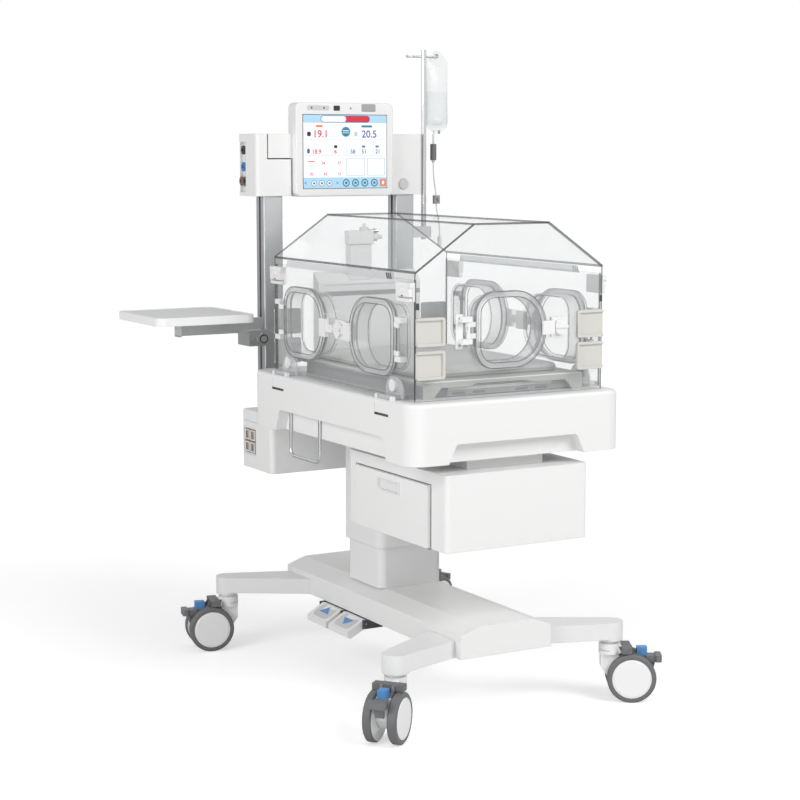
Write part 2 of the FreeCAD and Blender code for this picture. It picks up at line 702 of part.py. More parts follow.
box_half = cell("box_half", 245)
box_rear = cell("box_rear", 640)
box_low = cell("box_low", 509)
box_high = cell("box_high", 672)
box_round = cell("box_round", 14)
box_soft = cell("box_soft", 5)
lid_seam = cell("lid_seam", 640)
lid_groove = cell("lid_groove", 2)
panel_front = cell("panel_front", 549)
panel_rear = cell("panel_rear", 627)
panel_low = cell("panel_low", 546)
panel_high = cell("panel_high", 623)
panel_depth = cell("panel_depth", 4)
socket_size = cell("socket_size", 28)
socket_rim = cell("socket_rim", 3)
socket_recess = cell("socket_recess", 6)

box_body = slab("ControllerBody", "XY", (box_low, box_high), (-box_half, box_half),
                (frame_rear, box_rear), box_round, [(box_soft, box_high)])
ring_outer = box("LidRing", (-box_half - 1, box_half + 1), (frame_rear - 1, box_rear + 1),
                 (lid_seam, lid_seam + lid_groove))
ring_inner = slab("LidCore", "XY", (lid_seam - 1, lid_seam + lid_groove + 1),
                  (-box_half + lid_groove, box_half - lid_groove),
                  (frame_rear + lid_groove, box_rear - lid_groove), box_round - lid_groove)
panel_recess = box("SocketPanel", (-box_half - 1, -box_half + panel_depth),
                   (panel_front, panel_rear), (panel_low, panel_high))
controller_cuts = [cut("LidSeam", ring_outer, ring_inner), panel_recess]
sockets = []
panel_middle_y = (panel_front + panel_rear) / 2
panel_middle_z = (panel_low + panel_high) / 2
for column in (-1, 1):
    for level in (-1, 1):
        spot_y = panel_middle_y + column * (socket_size / 2 + socket_rim)
        spot_z = panel_middle_z + level * (socket_size / 2 + socket_rim)
        name = "Socket%d%d" % (column + 1, level + 1)
        frame_x = (-box_half, -box_half + panel_depth)
        sockets.append(box(name, frame_x, (spot_y - socket_size / 2, spot_y + socket_size / 2),
                           (spot_z - socket_size / 2, spot_z + socket_size / 2)))
        half = socket_size / 2 - socket_rim
        controller_cuts.append(box(name + "Hole", (-box_half - 1, -box_half + socket_recess),
                                   (spot_y - half, spot_y + half), (spot_z - half, spot_z + half)))
controller = cut("ControllerShell", box_body, *controller_cuts[:2])
node("controller_box", cut("ControllerBox", fuse("ControllerWhole", controller, *sockets),
                           *controller_cuts[2:]))

# Uprights, crossbar housing (beam, two front covers, end cover with the sensor ports), tilting
# display and power button
post_inner = cell("post_inner", 179)
post_outer = cell("post_outer", 237)
post_front = cell("post_front", 500)
post_rear = cell("post_rear", 550)
post_groove = cell("post_groove", 10)
post_groove_depth = cell("post_groove_depth", 8)
post_round = cell("post_round", 4)
bar_half = cell("bar_half", 262)
bar_front = cell("bar_front", 492)
bar_rear = cell("bar_rear", 609)
bar_low = cell("bar_low", 1270)
bar_high = cell("bar_high", 1439)
bar_round = cell("bar_round", 12)
recess_half = cell("recess_half", 156)
recess_depth = cell("recess_depth", 40)
end_cover = cell("end_cover", 15)
display_half = cell("display_half", 152.5)
display_front = cell("display_front", 470)
display_rear = cell("display_rear", 515)
display_low = cell("display_low", 1268)
display_high = cell("display_high", 1524)
display_round = cell("display_round", 16)
display_soft = cell("display_soft", 4)
tilt_y = cell("tilt_y", 506)
tilt_z = cell("tilt_z", 1406)
tilt_pin_radius = cell("tilt_pin_radius", 6)
tilt_pin_reach = cell("tilt_pin_reach", 15)
ear_outer = cell("ear_outer", 226)
ear_low = cell("ear_low", 1373)
ear_rear = cell("ear_rear", 512)
ear_gap = cell("ear_gap", 3)
glass_half = cell("glass_half", 132)
glass_low = cell("glass_low", 1289)
glass_high = cell("glass_high", 1492)
glass_proud = cell("glass_proud", 0.5)
glass_thick = cell("glass_thick", 3)
button_x = cell("button_x", 198)
button_z = cell("button_z", 1299.5)
button_radius = cell("button_radius", 15)
button_travel = cell("button_travel", 2)
button_proud = cell("button_proud", 3)
button_depth = cell("button_depth", 8)
strip_front = cell("strip_front", 560)
strip_rear = cell("strip_rear", 607)
strip_low = cell("strip_low", 1281)
strip_high = cell("strip_high", 1417)
strip_depth = cell("strip_depth", 5)
port_ring = cell("port_ring", 10)
port_hole = cell("port_hole", 6)
port_ring_proud = cell("port_ring_proud", 3)
port_top_drop = cell("port_top_drop", 22)
port_pair_half = cell("port_pair_half", 13)
port_pair_rise = cell("port_pair_rise", 29)


def upright(name, side):
    """An aluminium profile with a slot along each side."""
    whole = slab(name + "Bar", "XY", (box_high, bar_low), span(side * post_inner, side * post_outer),
                 (post_front, post_rear), post_round)
    middle = (post_front + post_rear) / 2
    slot_y = (middle - post_groove / 2, middle + post_groove / 2)
    slot_z = (box_high - 1, bar_low + 1)
    inner = box(name + "SlotIn", span(side * (post_inner - 1), side * (post_inner + post_groove_depth)),
                slot_y, slot_z)
    outer = box(name + "SlotOut", span(side * (post_outer + 1), side * (post_outer - post_groove_depth)),
                slot_y, slot_z)
    return cut(name, whole, inner, outer)


node("uprights", group("Uprights", upright("UprightLeft", -1), upright("UprightRight", 1)))

bar_z = (bar_low, bar_high)
beam_front = bar_front + recess_depth
end_inner = -bar_half + end_cover
beam = prism("CrossbarBeam", "XY", bar_z, rectangle((end_inner, bar_half), (beam_front, bar_rear)),
             [(bar_round, [(bar_half, bar_rear)])])
cover_right = prism("CoverRightBody", "XY", bar_z, rectangle((recess_half, bar_half),
                                                             (bar_front, beam_front)),
                    [(bar_round, [(bar_half, bar_front)])])
tilt_bore = rod("TiltBore", "X", (tilt_y, tilt_z), (recess_half - 1, display_half + tilt_pin_reach + 1),
                tilt_pin_radius + shaft_gap)
button_well = rod("ButtonWell", "Y", (button_x, button_z),
                  (bar_front - 1, bar_front + button_depth + button_travel + running_gap),
                  button_radius + running_gap)
cover_left = box("CoverLeftBody", (end_inner, -recess_half), (bar_front, beam_front), bar_z)
ear_recess = box("EarRecess", (-ear_outer - ear_gap, -recess_half + 1), (bar_front - 1, beam_front + 1),
                 (ear_low - ear_gap, bar_high + 1))
end_plan = rectangle((-bar_half, end_inner), (bar_front, bar_rear))
end_body = prism("CrossbarEndBody", "XY", bar_z, end_plan, [(bar_round, [end_plan[0], end_plan[3]])])
strip_window = box("StripWindow", (-bar_half - 1, end_inner + 1), (strip_front, strip_rear),
                   (strip_low, strip_high))
bar_pieces = [
    beam, cut("CoverRight", cover_right, tilt_bore, button_well), cut("CoverLeft", cover_left, ear_recess),
    cut("CrossbarEnd", end_body, strip_window),
]
strip_middle = (strip_front + strip_rear) / 2
round_ports = [
    (strip_middle, strip_high - port_top_drop), (strip_middle, (strip_low + strip_high) / 2),
    (strip_middle - port_pair_half, strip_low + port_pair_rise),
    (strip_middle + port_pair_half, strip_low + port_pair_rise),
]
port_face = -bar_half + strip_depth - port_ring_proud
for index, spot in enumerate(round_ports):
    barrel = rod("PortBarrel%d" % index, "X", spot, (port_face, end_inner), port_ring)
    hole = rod("PortHole%d" % index, "X", spot, (port_face - 1, end_inner + 1), port_hole)
    bar_pieces.append(cut("SensorPort%d" % index, barrel, hole))
node("crossbar_housing", group("CrossbarHousing", *bar_pieces))

display_body = slab("DisplayBody", "XZ", (display_front, display_rear), (-display_half, display_half),
                    (display_low, display_high), display_round, [(display_soft, display_front)])
display_ear = box("DisplayEar", (-ear_outer, -display_half + 1), (bar_front, ear_rear), (ear_low, bar_high))
glass_seat = box("GlassSeat", (-glass_half, glass_half),
                 (display_front - 1, display_front + glass_thick - glass_proud),
                 (glass_low, glass_high))
pins = rod("DisplayPins", "X", (tilt_y, tilt_z), (-display_half - tilt_pin_reach,
                                                  display_half + tilt_pin_reach),
           tilt_pin_radius)
node("display_unit", cut("DisplayUnit", fuse("DisplayWhole", display_body, display_ear, pins), glass_seat))
node("display_glass", group("DisplayGlass", box(
    "GlassPane", (-glass_half + running_gap, glass_half - running_gap),
    (display_front - glass_proud, display_front - glass_proud + glass_thick),
    (glass_low + running_gap, glass_high - running_gap))))
node("power_button", group("PowerButton", rod(
    "ButtonCap", "Y", (button_x, button_z), (bar_front - button_proud,
                                             bar_front + button_depth), button_radius)))

# Hood: mitred roof plates, end panels and drop-down side doors of clear sheet
eaves = cell("eaves", 1114.5)
ridge = cell("ridge", 1224.2)
ridge_half = cell("ridge_half", 108)
roof_thick = cell("roof_thick", 5)
panel_thick = cell("panel_thick", 6)
door_gap = cell("door_gap", 1)
door_drop = cell("door_drop", 20.5)
rail_drop = cell("rail_drop", 7.5)
rail_width = cell("rail_width", 18)
rail_proud = cell("rail_proud", 3)
rail_rear_y = cell("rail_rear_y", 302)
rail_front_y = cell("rail_front_y", -272)
rail_slope = cell("rail_slope", 12)
hinge_out = cell("hinge_out", 30)
hinge_rise = cell("hinge_rise", 6)
hinge_radius = cell("hinge_radius", 4.7)
hinge_pin_radius = cell("hinge_pin_radius", 2.5)
hinge_pin_reach = cell("hinge_pin_reach", 10)
hinge_boss = cell("hinge_boss", 12)
arch_y = cell("arch_y", 280)
arch_half = cell("arch_half", 42)
arch_share = cell("arch_share", 0.1686)
arch_round_share = cell("arch_round_share", 0.65)
arch_thick = cell("arch_thick", 4)
arch_cap_share = cell("arch_cap_share", 0.615)
arch_cap_radius = cell("arch_cap_radius", 15)
arch_cap_thick = cell("arch_cap_thick", 7)
arm_half = cell("arm_half", 30)

wall_height = eaves - shell_top
door_high = eaves - door_drop
rail_high = eaves - rail_drop
rail_low = rail_high - rail_width
hinge_x = hood_half + hinge_out
hinge_z = shell_top + hinge_rise
arch_height = wall_height * arch_share
arch_top = shell_top + arch_height
arch_round = arch_height * arch_round_share
arch_cap_z = shell_top + arch_height * arch_cap_share
rise = ridge - eaves
run = hood_half - ridge_half
mitre = roof_thick * half_turn_tangent(rise, run)
slope_length = root_of_squares(rise, run)
slope_drop = roof_thick * slope_length / run
under_ridge = (ridge_half - mitre, ridge - roof_thick)
under_eaves = (hood_half, eaves - slope_drop)


def mirrored(points):
    """The points of an outline on the other side of the middle plane."""
    return [(-a, b) for a, b in points]


hood_y = (-hood_end, hood_end)
slope_points = [(hood_half, eaves), (ridge_half, ridge), under_ridge, under_eaves]
ridge_points = [(-ridge_half, ridge), (ridge_half, ridge), under_ridge, mirrored([under_ridge])[0]]
end_points = [
    (-hood_half, shell_top), (hood_half, shell_top), under_eaves, under_ridge,
    mirrored([under_ridge])[0], mirrored([under_eaves])[0],
]
roof = [
    prism("RoofRight", "XZ", hood_y, slope_points),
    prism("RoofLeft", "XZ", hood_y, mirrored(slope_points)),
    prism("RoofRidge", "XZ", hood_y, ridge_points),
    prism("RearPanel", "XZ", (hood_end - panel_thick, hood_end), end_points),
]
node("hood_canopy", group("HoodCanopy", *roof))

# Hand ports, alike on the doors and on the front panel
side_port_y = cell("side_port_y", 181)
side_port_share = cell("side_port_share", 0.4635)
side_port_half = cell("side_port_half", 113)
end_port_x = cell("end_port_x", -8)
end_port_share = cell("end_port_share", 0.5251)
end_port_half = cell("end_port_half", 102)
port_height_share = cell("port_height_share", 0.3031)
hinge_round_share = cell("hinge_round_share", 0.588)
latch_round_share = cell("latch_round_share", 0.9625)
port_band = cell("port_band", 14)
sleeve_wall = cell("sleeve_wall", 3)
sleeve_reach = cell("sleeve_reach", 34)
ring_thick = cell("ring_thick", 7)
lid_thick = cell("lid_thick", 6)
lid_inset = cell("lid_inset", 2)
lid_hinge_offset = cell("lid_hinge_offset", 18)
lid_hinge_depth = cell("lid_hinge_depth", 12)
lid_rod_radius = cell("lid_rod_radius", 3)
lid_knuckle = cell("lid_knuckle", 6)
lid_knuckle_length = cell("lid_knuckle_length", 12)
side_hinge_drop = cell("side_hinge_drop", 0.5455)
side_hinge_rise = cell("side_hinge_rise", 0.588)
side_hinge_block = cell("side_hinge_block", 13)
end_hinge_drop = cell("end_hinge_drop", 30)
end_hinge_rise = cell("end_hinge_rise", 36)
hinge_block_width = cell("hinge_block_width", 22)
hinge_block_depth = cell("hinge_block_depth", 19)
tab_depth = cell("tab_depth", 19.5)
latch_base_thick = cell("latch_base_thick", 7)
latch_base_half = cell("latch_base_half", 24)
latch_radius = cell("latch_radius", 19)
latch_thick = cell("latch_thick", 9)
latch_wing = cell("latch_wing", 3)
latch_stud = cell("latch_stud", 5)
latch_stud_length = cell("latch_stud_length", 4)
side_latch_y = cell("side_latch_y", -8)
end_latch_x = cell("end_latch_x", 136)
side_tab_half_height = cell("side_tab_half_height", 23)
end_tab_half_height = cell("end_tab_half_height", 17)
neck_half_height = cell("neck_half_height", 10)
neck_gap = cell("neck_gap", 3)
tab_width = cell("tab_width", 34)
tab_step = cell("tab_step", 1)
neck_proud = cell("neck_proud", 3)
rod_seat = cell("rod_seat", 2)

side_port_z = shell_top + wall_height * side_port_share
end_port_z = shell_top + wall_height * end_port_share
port_half_height = wall_height * port_height_share
hinge_side_round = port_half_height * hinge_round_share
latch_side_round = port_half_height * latch_round_share
side_hinge_ends = (side_port_z - port_half_height * side_hinge_drop,
                   side_port_z + port_half_height * side_hinge_rise)
end_hinge_ends = (end_port_z - end_hinge_drop, end_port_z + end_hinge_rise)


class Wall:
    """A flat wall that carries ports: its sketch plane, its outer face and the way outwards."""

    def __init__(self, plane, face, out):
        self.plane = plane
        self.face = face
        self.out = out

    def deep(self, first, second):
        """Two distances out of the wall as places along its normal."""
        return span(self.face + self.out * first, self.face + self.out * second)

    def box(self, name, depths, along, level):
        if self.plane == "YZ":
            return box(name, self.deep(*depths), along, level)
        return box(name, along, self.deep(*depths), level)

    def upright_rod(self, name, depth, along, ends, radius):
        out = self.face + self.out * depth
        centre = (out, along) if self.plane == "YZ" else (along, out)
        return rod(name, "Z", centre, ends, radius)

    def stub(self, name, depths, along, level, radius):
        axis = "X" if self.plane == "YZ" else "Y"
        return rod(name, axis, (along, level), self.deep(*depths), radius)

    def port(self, name, depths, port, inset):
        """A pad with a port's outline, drawn in by an inset."""
        along = (port.along - port.half + inset, port.along + port.half - inset)
        level = (port.level - port_half_height + inset, port.level + port_half_height - inset)
        points = rectangle(along, level)
        low, high = (points[0], points[3]), (points[1], points[2])
        hinge_corners, latch_corners = (low, high) if port.hinge_side < 0 else (high, low)
        rounds = [(hinge_side_round - inset, hinge_corners), (latch_side_round - inset, latch_corners)]
        return prism(name, self.plane, self.deep(*depths), points, rounds)


class Port:
    """Where one hand port lies on its wall and which side its hinge is on."""

    def __init__(self, along, level, half, hinge_side, hinge_ends, latch_along, tab_half):
        self.along = along
        self.level = level
        self.half = half
        self.hinge_side = hinge_side
        self.hinge_ends = hinge_ends
        self.latch_along = latch_along
        self.tab_half = tab_half
        self.hinge_along = along + hinge_side * (half + lid_hinge_offset)


def port_hole(name, wall, port):
    """The hole that a port's sleeve needs in its wall."""
    return wall.port(name, (-panel_thick - 1, 1), port, port_band - sleeve_wall - running_gap)


def port_frame(name, wall, port):
    """The ring on the wall's face and the sleeve that reaches into the hood."""
    sleeve_inset = port_band - sleeve_wall
    ring = wall.port(name + "Ring", (0, ring_thick), port, 0)
    sleeve = wall.port(name + "Sleeve", (-sleeve_reach - panel_thick, ring_thick), port, sleeve_inset)
    through = wall.port(name + "Through", (-sleeve_reach - panel_thick - 1, ring_thick + 1), port, port_band)
    return cut(name, fuse(name + "Whole", ring, sleeve), through)


def port_hinge(name, wall, port):
    """Two fixed blocks on the wall with the hinge rod between them."""
    along = (port.hinge_along - port.hinge_side * lid_knuckle,
             port.hinge_along + port.hinge_side * hinge_block_width)
    low, high = port.hinge_ends
    lower = wall.box(name + "Lower", (0, hinge_block_depth), span(*along), (low, low + side_hinge_block))
    upper = wall.box(name + "Upper", (0, hinge_block_depth), span(*along), (high - side_hinge_block, high))
    bar = wall.upright_rod(name + "Bar", lid_hinge_depth, port.hinge_along,
                           (low + rod_seat, high - rod_seat), lid_rod_radius)
    return fuse(name, lower, upper, bar)


def port_door(name, wall, port):
    """The clear lid of a port with its two knuckles and its latch tab."""
    near = ring_thick + running_gap
    far = near + lid_thick
    plate = wall.port(name + "Plate", (near, far), port, lid_inset)
    low, high = port.hinge_ends
    pieces = [plate]
    levels = (low + side_hinge_block + running_gap,
              high - side_hinge_block - running_gap - lid_knuckle_length)
    edge = port.along + port.hinge_side * (port.half - lid_inset - panel_thick)
    for index, level in enumerate(levels):
        reach = (level, level + lid_knuckle_length)
        pieces.append(wall.box("%sArm%d" % (name, index), (near, far), span(edge, port.hinge_along), reach))
        pieces.append(wall.upright_rod("%sKnuckle%d" % (name, index), lid_hinge_depth, port.hinge_along,
                                       reach,
                                       lid_knuckle))
    rim = port.along - port.hinge_side * (port.half - port_band)
    tip = port.latch_along + port.hinge_side * (latch_radius + neck_gap)
    outer = rim - port.hinge_side * tab_width
    tab_level = (port.level - port.tab_half, port.level + port.tab_half)
    neck_level = (port.level - neck_half_height, port.level + neck_half_height)
    pieces.append(wall.box(name + "Tab", (near + tab_step, tab_depth), span(rim, outer), tab_level))
    pieces.append(wall.box(name + "Neck", (near + tab_step, far + neck_proud), span(rim, tip), neck_level))
    bore = wall.upright_rod(name + "Bore", lid_hinge_depth, port.hinge_along,
                            (levels[0] - 1, levels[1] + lid_knuckle_length + 1), lid_rod_radius + shaft_gap)
    return cut(name, fuse(name + "Whole", *pieces), bore)


def latch_base(name, wall, along, level):
    """The fixed pad under a port latch, with the bore for its stud."""
    half = latch_base_half
    pad = wall.box(name + "Pad", (0, latch_base_thick), (along - half, along + half),
                   (level - half, level + half))
    bore = wall.stub(name + "Bore", (latch_base_thick - latch_stud_length - running_gap,
                                     latch_base_thick + 1),
                     along, level, latch_stud + shaft_gap)
    return cut(name, pad, bore)


def port_latch(name, wall, along, level):
    """A turning disc with a finger wing and its stud."""
    near = latch_base_thick + running_gap
    disc = wall.stub(name + "Disc", (near, near + latch_thick), along, level, latch_radius)
    stud = wall.stub(name + "Stud", (latch_base_thick - latch_stud_length, near), along, level, latch_stud)
    wing = wall.box(name + "Wing", (near, near + latch_thick + latch_wing),
                    (along - latch_radius, along + latch_radius), (level - latch_wing, level + latch_wing))
    return fuse(name, disc, stud, wing)


front_wall = Wall("XZ", -hood_end, -1)
end_port = Port(end_port_x, end_port_z, end_port_half, -1, end_hinge_ends,
                end_latch_x, end_tab_half_height)
front_panel = prism("FrontPanel", "XZ", (-hood_end, -hood_end + panel_thick), end_points)
node("hood_front_panel", cut("HoodFrontPanel", front_panel, port_hole("FrontHole", front_wall, end_port)))
node("end_port_frame", group(
    "EndPortFrame", port_frame("EndFrame", front_wall, end_port), port_hinge("EndHinge", front_wall,
                                                                             end_port),
    latch_base("EndLatchBase", front_wall, end_latch_x, end_port_z)))
node("port_door_front_end", port_door("PortDoorEnd", front_wall, end_port))
node("port_latch_front", port_latch("PortLatchFront", front_wall, end_latch_x, end_port_z))

# Side doors: hinge brackets, top rails and latches, mirrored on both sides
catch_y = cell("catch_y", 338)
catch_half = cell("catch_half", 30)
catch_drop = cell("catch_drop", 26.5)
catch_share = cell("catch_share", 0.1459)
catch_base_thick = cell("catch_base_thick", 4)
catch_thick = cell("catch_thick", 12)
catch_pin_radius = cell("catch_pin_radius", 2.5)
catch_ear = cell("catch_ear", 3)
catch_prong = cell("catch_prong", 8)
prong_inset = cell("prong_inset", 2)

catch_high = eaves - catch_drop
catch_low = catch_high - wall_height * catch_share


def door_bracket(name, wall, middle):
    """A round-topped bracket with its cap, the arm over the shell and the hinge knuckle with its pin."""
    points = rectangle((middle - arch_half, middle + arch_half), (shell_top + 1, arch_top))
    plate = prism(name + "Plate", "YZ", wall.deep(0, arch_thick), points, [(arch_round, points[2:])])
    cap = wall.stub(name + "Cap", (0, arch_thick + arch_cap_thick), middle, arch_cap_z, arch_cap_radius)
    axis_x = wall.out * hinge_x
    low = hinge_z - hinge_radius
    arm = box(name + "Arm", span(wall.face, axis_x), (middle - arm_half, middle + arm_half),
              (low, low + 2 * hinge_radius))
    knuckle = rod(name + "Knuckle", "Y", (axis_x, hinge_z), (middle - arm_half, middle + arm_half),
                  hinge_radius)
    pin_ends = (middle - arm_half - hinge_pin_reach, middle + arm_half + hinge_pin_reach)
    pin = rod(name + "Pin", "Y", (axis_x, hinge_z), pin_ends, hinge_pin_radius)
    return fuse(name, plate, cap, arm, knuckle, pin)


def shell_bosses(name, side, middle):
    """The two fixed bosses on the shell that carry one hinge pin."""
    bosses = []
    axis_x = side * hinge_x
    for way in (-1, 1):
        near = middle + way * (arm_half + running_gap)
        ends = span(near, near + way * hinge_boss)
        round_end = rod("%sBoss%d" % (name, way + 1), "Y", (axis_x, hinge_z), ends, hinge_radius)
        foot = box("%sFoot%d" % (name, way + 1), (axis_x - hinge_radius, axis_x + hinge_radius), ends,
                   (shell_top - shell_soft, hinge_z))
        bosses.append(fuse("%sPair%d" % (name, way + 1), round_end, foot))
    return bosses


def top_rail(name, wall):
    """The strip along the door's top edge, with slanting ends."""
    points = [
        (rail_front_y, rail_low), (rail_rear_y, rail_low),
        (rail_rear_y - rail_slope, rail_high), (rail_front_y + rail_slope, rail_high),
    ]
    strip = prism(name + "Strip", "YZ", wall.deep(0, rail_proud), points)
    lip = wall.box(name + "Lip", (-panel_thick, 0), (rail_front_y + rail_slope, rail_rear_y - rail_slope),
                   (door_high, rail_high))
    return fuse(name, strip, lip)


def catch_base(name, wall, middle):
    """The plate on the door with the two ears that hold a latch."""
    along = (middle - catch_half - catch_ear - running_gap, middle + catch_half + catch_ear + running_gap)
    plate = wall.box(name + "Plate", (0, catch_base_thick), along, (catch_low, catch_high))
    deep = catch_base_thick + running_gap + catch_thick / 2
    level = catch_high - catch_thick / 2
    ears = []
    for way in (-1, 1):
        near = middle + way * (catch_half + running_gap)
        ears.append(wall.box("%sEar%d" % (name, way + 1), (0, deep + catch_thick / 2 - 1),
                             span(near, near + way * catch_ear), (level - catch_thick / 2, catch_high)))
    bore = rod(name + "Bore", "Y", (wall.face + wall.out * deep, level), (along[0] - 1, along[1] + 1),
               catch_pin_radius + shaft_gap)
    return cut(name, fuse(name + "Whole", plate, *ears), bore)


def catch_lever(name, wall, middle):
    """The pinned lever of a door latch, with its cap and two prongs beside a slot."""
    deep = catch_base_thick + running_gap
    far = deep + catch_thick
    level = catch_high - catch_thick / 2
    along = (middle - catch_half, middle + catch_half)
    body = wall.box(name + "Body", (deep, far), along, (catch_low + catch_thick, level))
    head = rod(name + "Head", "Y", (wall.face + wall.out * (deep + catch_thick / 2), level), along,
               catch_thick / 2)
    pin = rod(name + "Pin", "Y", (wall.face + wall.out * (deep + catch_thick / 2), level),
              (along[0] - catch_ear, along[1] + catch_ear), catch_pin_radius)
    prongs = []
    for index, low in enumerate((catch_low, catch_low + catch_thick - 1)):
        prongs.append(wall.box("%sProng%d" % (name, index), (deep + prong_inset, far - prong_inset),
                               (along[0] + catch_prong * index / 2, along[1]), (low, low + catch_prong)))
    spine = wall.box(name + "Spine", (deep + prong_inset, far - prong_inset),
                     (along[1] - catch_prong, along[1]),
                     (catch_low, catch_low + catch_thick + catch_prong))
    return fuse(name, body, head, pin, spine, *prongs)


door_holes = {}
for side, hand in ((-1, "left"), (1, "right")):
    wall = Wall("YZ", side * hood_half, side)
    tag = hand.title()
    side_ports = []
    for row, place in ((1, "rear"), (-1, "front")):
        port = Port(row * side_port_y, side_port_z, side_port_half, row, side_hinge_ends,
                    side_latch_y, side_tab_half_height)
        side_ports.append((place, port))
    panel = wall.box("Door%sPanel" % tag, (-panel_thick, 0),
                     (-hood_end + panel_thick + door_gap, hood_end - panel_thick - door_gap),
                     (hinge_z, door_high))
    holes = [port_hole("Door%sHole%s" % (tag, place.title()), wall, port) for place, port in side_ports]
    node("door_" + hand, cut("Door" + tag, panel, *holes))
    fittings = [
        door_bracket("BracketRear" + tag, wall, arch_y), door_bracket("BracketFront" + tag, wall, -arch_y),
        top_rail("TopRail" + tag, wall), latch_base("LatchBase" + tag, wall, side_latch_y, side_port_z),
        catch_base("CatchBaseRear" + tag, wall, catch_y), catch_base("CatchBaseFront" + tag, wall, -catch_y),
    ]
    for place, port in side_ports:
        fittings.append(port_frame("Frame%s%s" % (place.title(), tag), wall, port))
        fittings.append(port_hinge("Hinge%s%s" % (place.title(), tag), wall, port))
        node("port_door_%s_%s" % (hand, place), port_door("PortDoor%s%s" % (place.title(), tag), wall, port))
    node("door_fittings_" + hand, group("DoorFittings" + tag, *fittings))
    node("door_latches_" + hand, group(
        "DoorLatches" + tag, catch_lever("CatchRear" + tag, wall, catch_y),
        catch_lever("CatchFront" + tag, wall, -catch_y)))
    node("port_latch_" + hand, port_latch("PortLatch" + tag, wall, side_latch_y, side_port_z))

shell_pieces = [shell_body]
shell_bores = []
for side, hand in ((-1, "Left"), (1, "Right")):
    for middle, place in ((arch_y, "Rear"), (-arch_y, "Front")):
        shell_pieces += shell_bosses("Hinge" + place + hand + "Seat", side, middle)
        ends = (middle - arm_half - hinge_pin_reach - running_gap,
                middle + arm_half + hinge_pin_reach + running_gap)
        shell_bores.append(rod("HingeBore" + place + hand, "Y", (side * hinge_x, hinge_z), ends,
                               hinge_pin_radius + shaft_gap))
node("tray_shell", cut("TrayShell", fuse("TrayShellWhole", *shell_pieces), *shell_bores))

# Tubing grommets at the hood's four corners
grommet_width = cell("grommet_width", 78)
grommet_height = cell("grommet_height", 68)
grommet_thick = cell("grommet_thick", 8)
grommet_border = cell("grommet_border", 7)
grommet_recess = cell("grommet_recess", 5)
grommet_round = cell("grommet_round", 6)
grommet_low = cell("grommet_low", 858)
grommet_pitch = cell("grommet_pitch", 79)
rear_grommet_drop = cell("rear_grommet_drop", 33)


def grommet(name, side, out, low):
    """A soft plug with a raised border, its recess open to the hood's side."""
    across = span(side * hood_half, side * (hood_half - grommet_width))
    face = out * hood_end
    depth = span(face, face + out * grommet_thick)
    plug = slab(name + "Plug", "XZ", depth, across, (low, low + grommet_height), grommet_round)
    inner = span(side * (hood_half + 1), side * (hood_half - grommet_width + grommet_border))
    room = span(face + out * (grommet_thick - grommet_recess), face + out * (grommet_thick + 1))
    recess = box(name + "Recess", inner, room, (low + grommet_border, low + grommet_height - grommet_border))
    return cut(name, plug, recess)


grommets = []
for side, hand in ((-1, "Left"), (1, "Right")):
    for out, end, drop in ((-1, "Front", 0), (1, "Rear", rear_grommet_drop)):
        for level in range(2):
            name = "Grommet%s%s%d" % (end, hand, level)
            grommets.append(grommet(name, side, out, grommet_low - drop + level * grommet_pitch))
node("tubing_grommets", group("TubingGrommets", *grommets))

# Inside the hood: mattress tray, mattress, rear air duct and sensor post
deck_margin = cell("deck_margin", 38)
deck_front = cell("deck_front", -345)
deck_rear = cell("deck_rear", 320)
deck_top = cell("deck_top", 848)
deck_thick = cell("deck_thick", 10)
deck_round = cell("deck_round", 22)
lip_thick = cell("lip_thick", 5)
lip_soft = cell("lip_soft", 3)
foot_inset = cell("foot_inset", 28)
foot_slope = cell("foot_slope", 23)
step_left = cell("step_left", -96)
step_right = cell("step_right", 87)
step_rise = cell("step_rise", 6)
step_slope = cell("step_slope", 13)
plinth_inset = cell("plinth_inset", 20)
mattress_inset = cell("mattress_inset", 26)
mattress_thick = cell("mattress_thick", 20)
mattress_soft = cell("mattress_soft", 7)
duct_left = cell("duct_left", -155)
duct_right = cell("duct_right", 160)
duct_front = cell("duct_front", 334)
duct_shoulder = cell("duct_shoulder", 1040)
duct_top = cell("duct_top", 1068)
duct_band = cell("duct_band", 1014)
duct_groove = cell("duct_groove", 3)
post_left_x = cell("post_left_x", -55)
post_right_x = cell("post_right_x", 10)
post_front_y = cell("post_front_y", 340)
sensor_post_top = cell("sensor_post_top", 1142)
sensor_head_top = cell("sensor_head_top", 1178)
sensor_head_over = cell("sensor_head_over", 6)
sensor_cap_radius = cell("sensor_cap_radius", 12)
sensor_cap_length = cell("sensor_cap_length", 16)

deck_half = hood_half - deck_margin
lip_low = deck_top - deck_thick
lip_points = [
    (-deck_half, shell_top + running_gap), (-deck_half + foot_inset, shell_top + running_gap),
    (-deck_half + foot_inset + foot_slope, lip_low - step_rise), (step_left, lip_low - step_rise),
    (step_left + step_slope, lip_low), (step_right - step_slope - foot_slope, lip_low),
    (step_right, lip_low - step_rise), (deck_half - foot_inset - foot_slope, lip_low - step_rise),
    (deck_half - foot_inset, shell_top + running_gap), (deck_half, shell_top + running_gap),
    (deck_half, deck_top - 1), (-deck_half, deck_top - 1),
]
lip = prism("TrayLip", "XZ", (deck_front, deck_front + lip_thick), lip_points)
deck = slab("TrayDeck", "XY", (lip_low, deck_top), (-deck_half, deck_half), (deck_front, deck_rear),
            lip_thick,
            [(lip_soft, deck_top)])
plinth = box("TrayPlinth", (-deck_half + plinth_inset, deck_half - plinth_inset),
             (deck_front + plinth_inset, deck_rear - plinth_inset), (shell_top, lip_low))
node("mattress_tray", fuse("MattressTray", lip, deck, plinth))
mattress_low = deck_top + running_gap
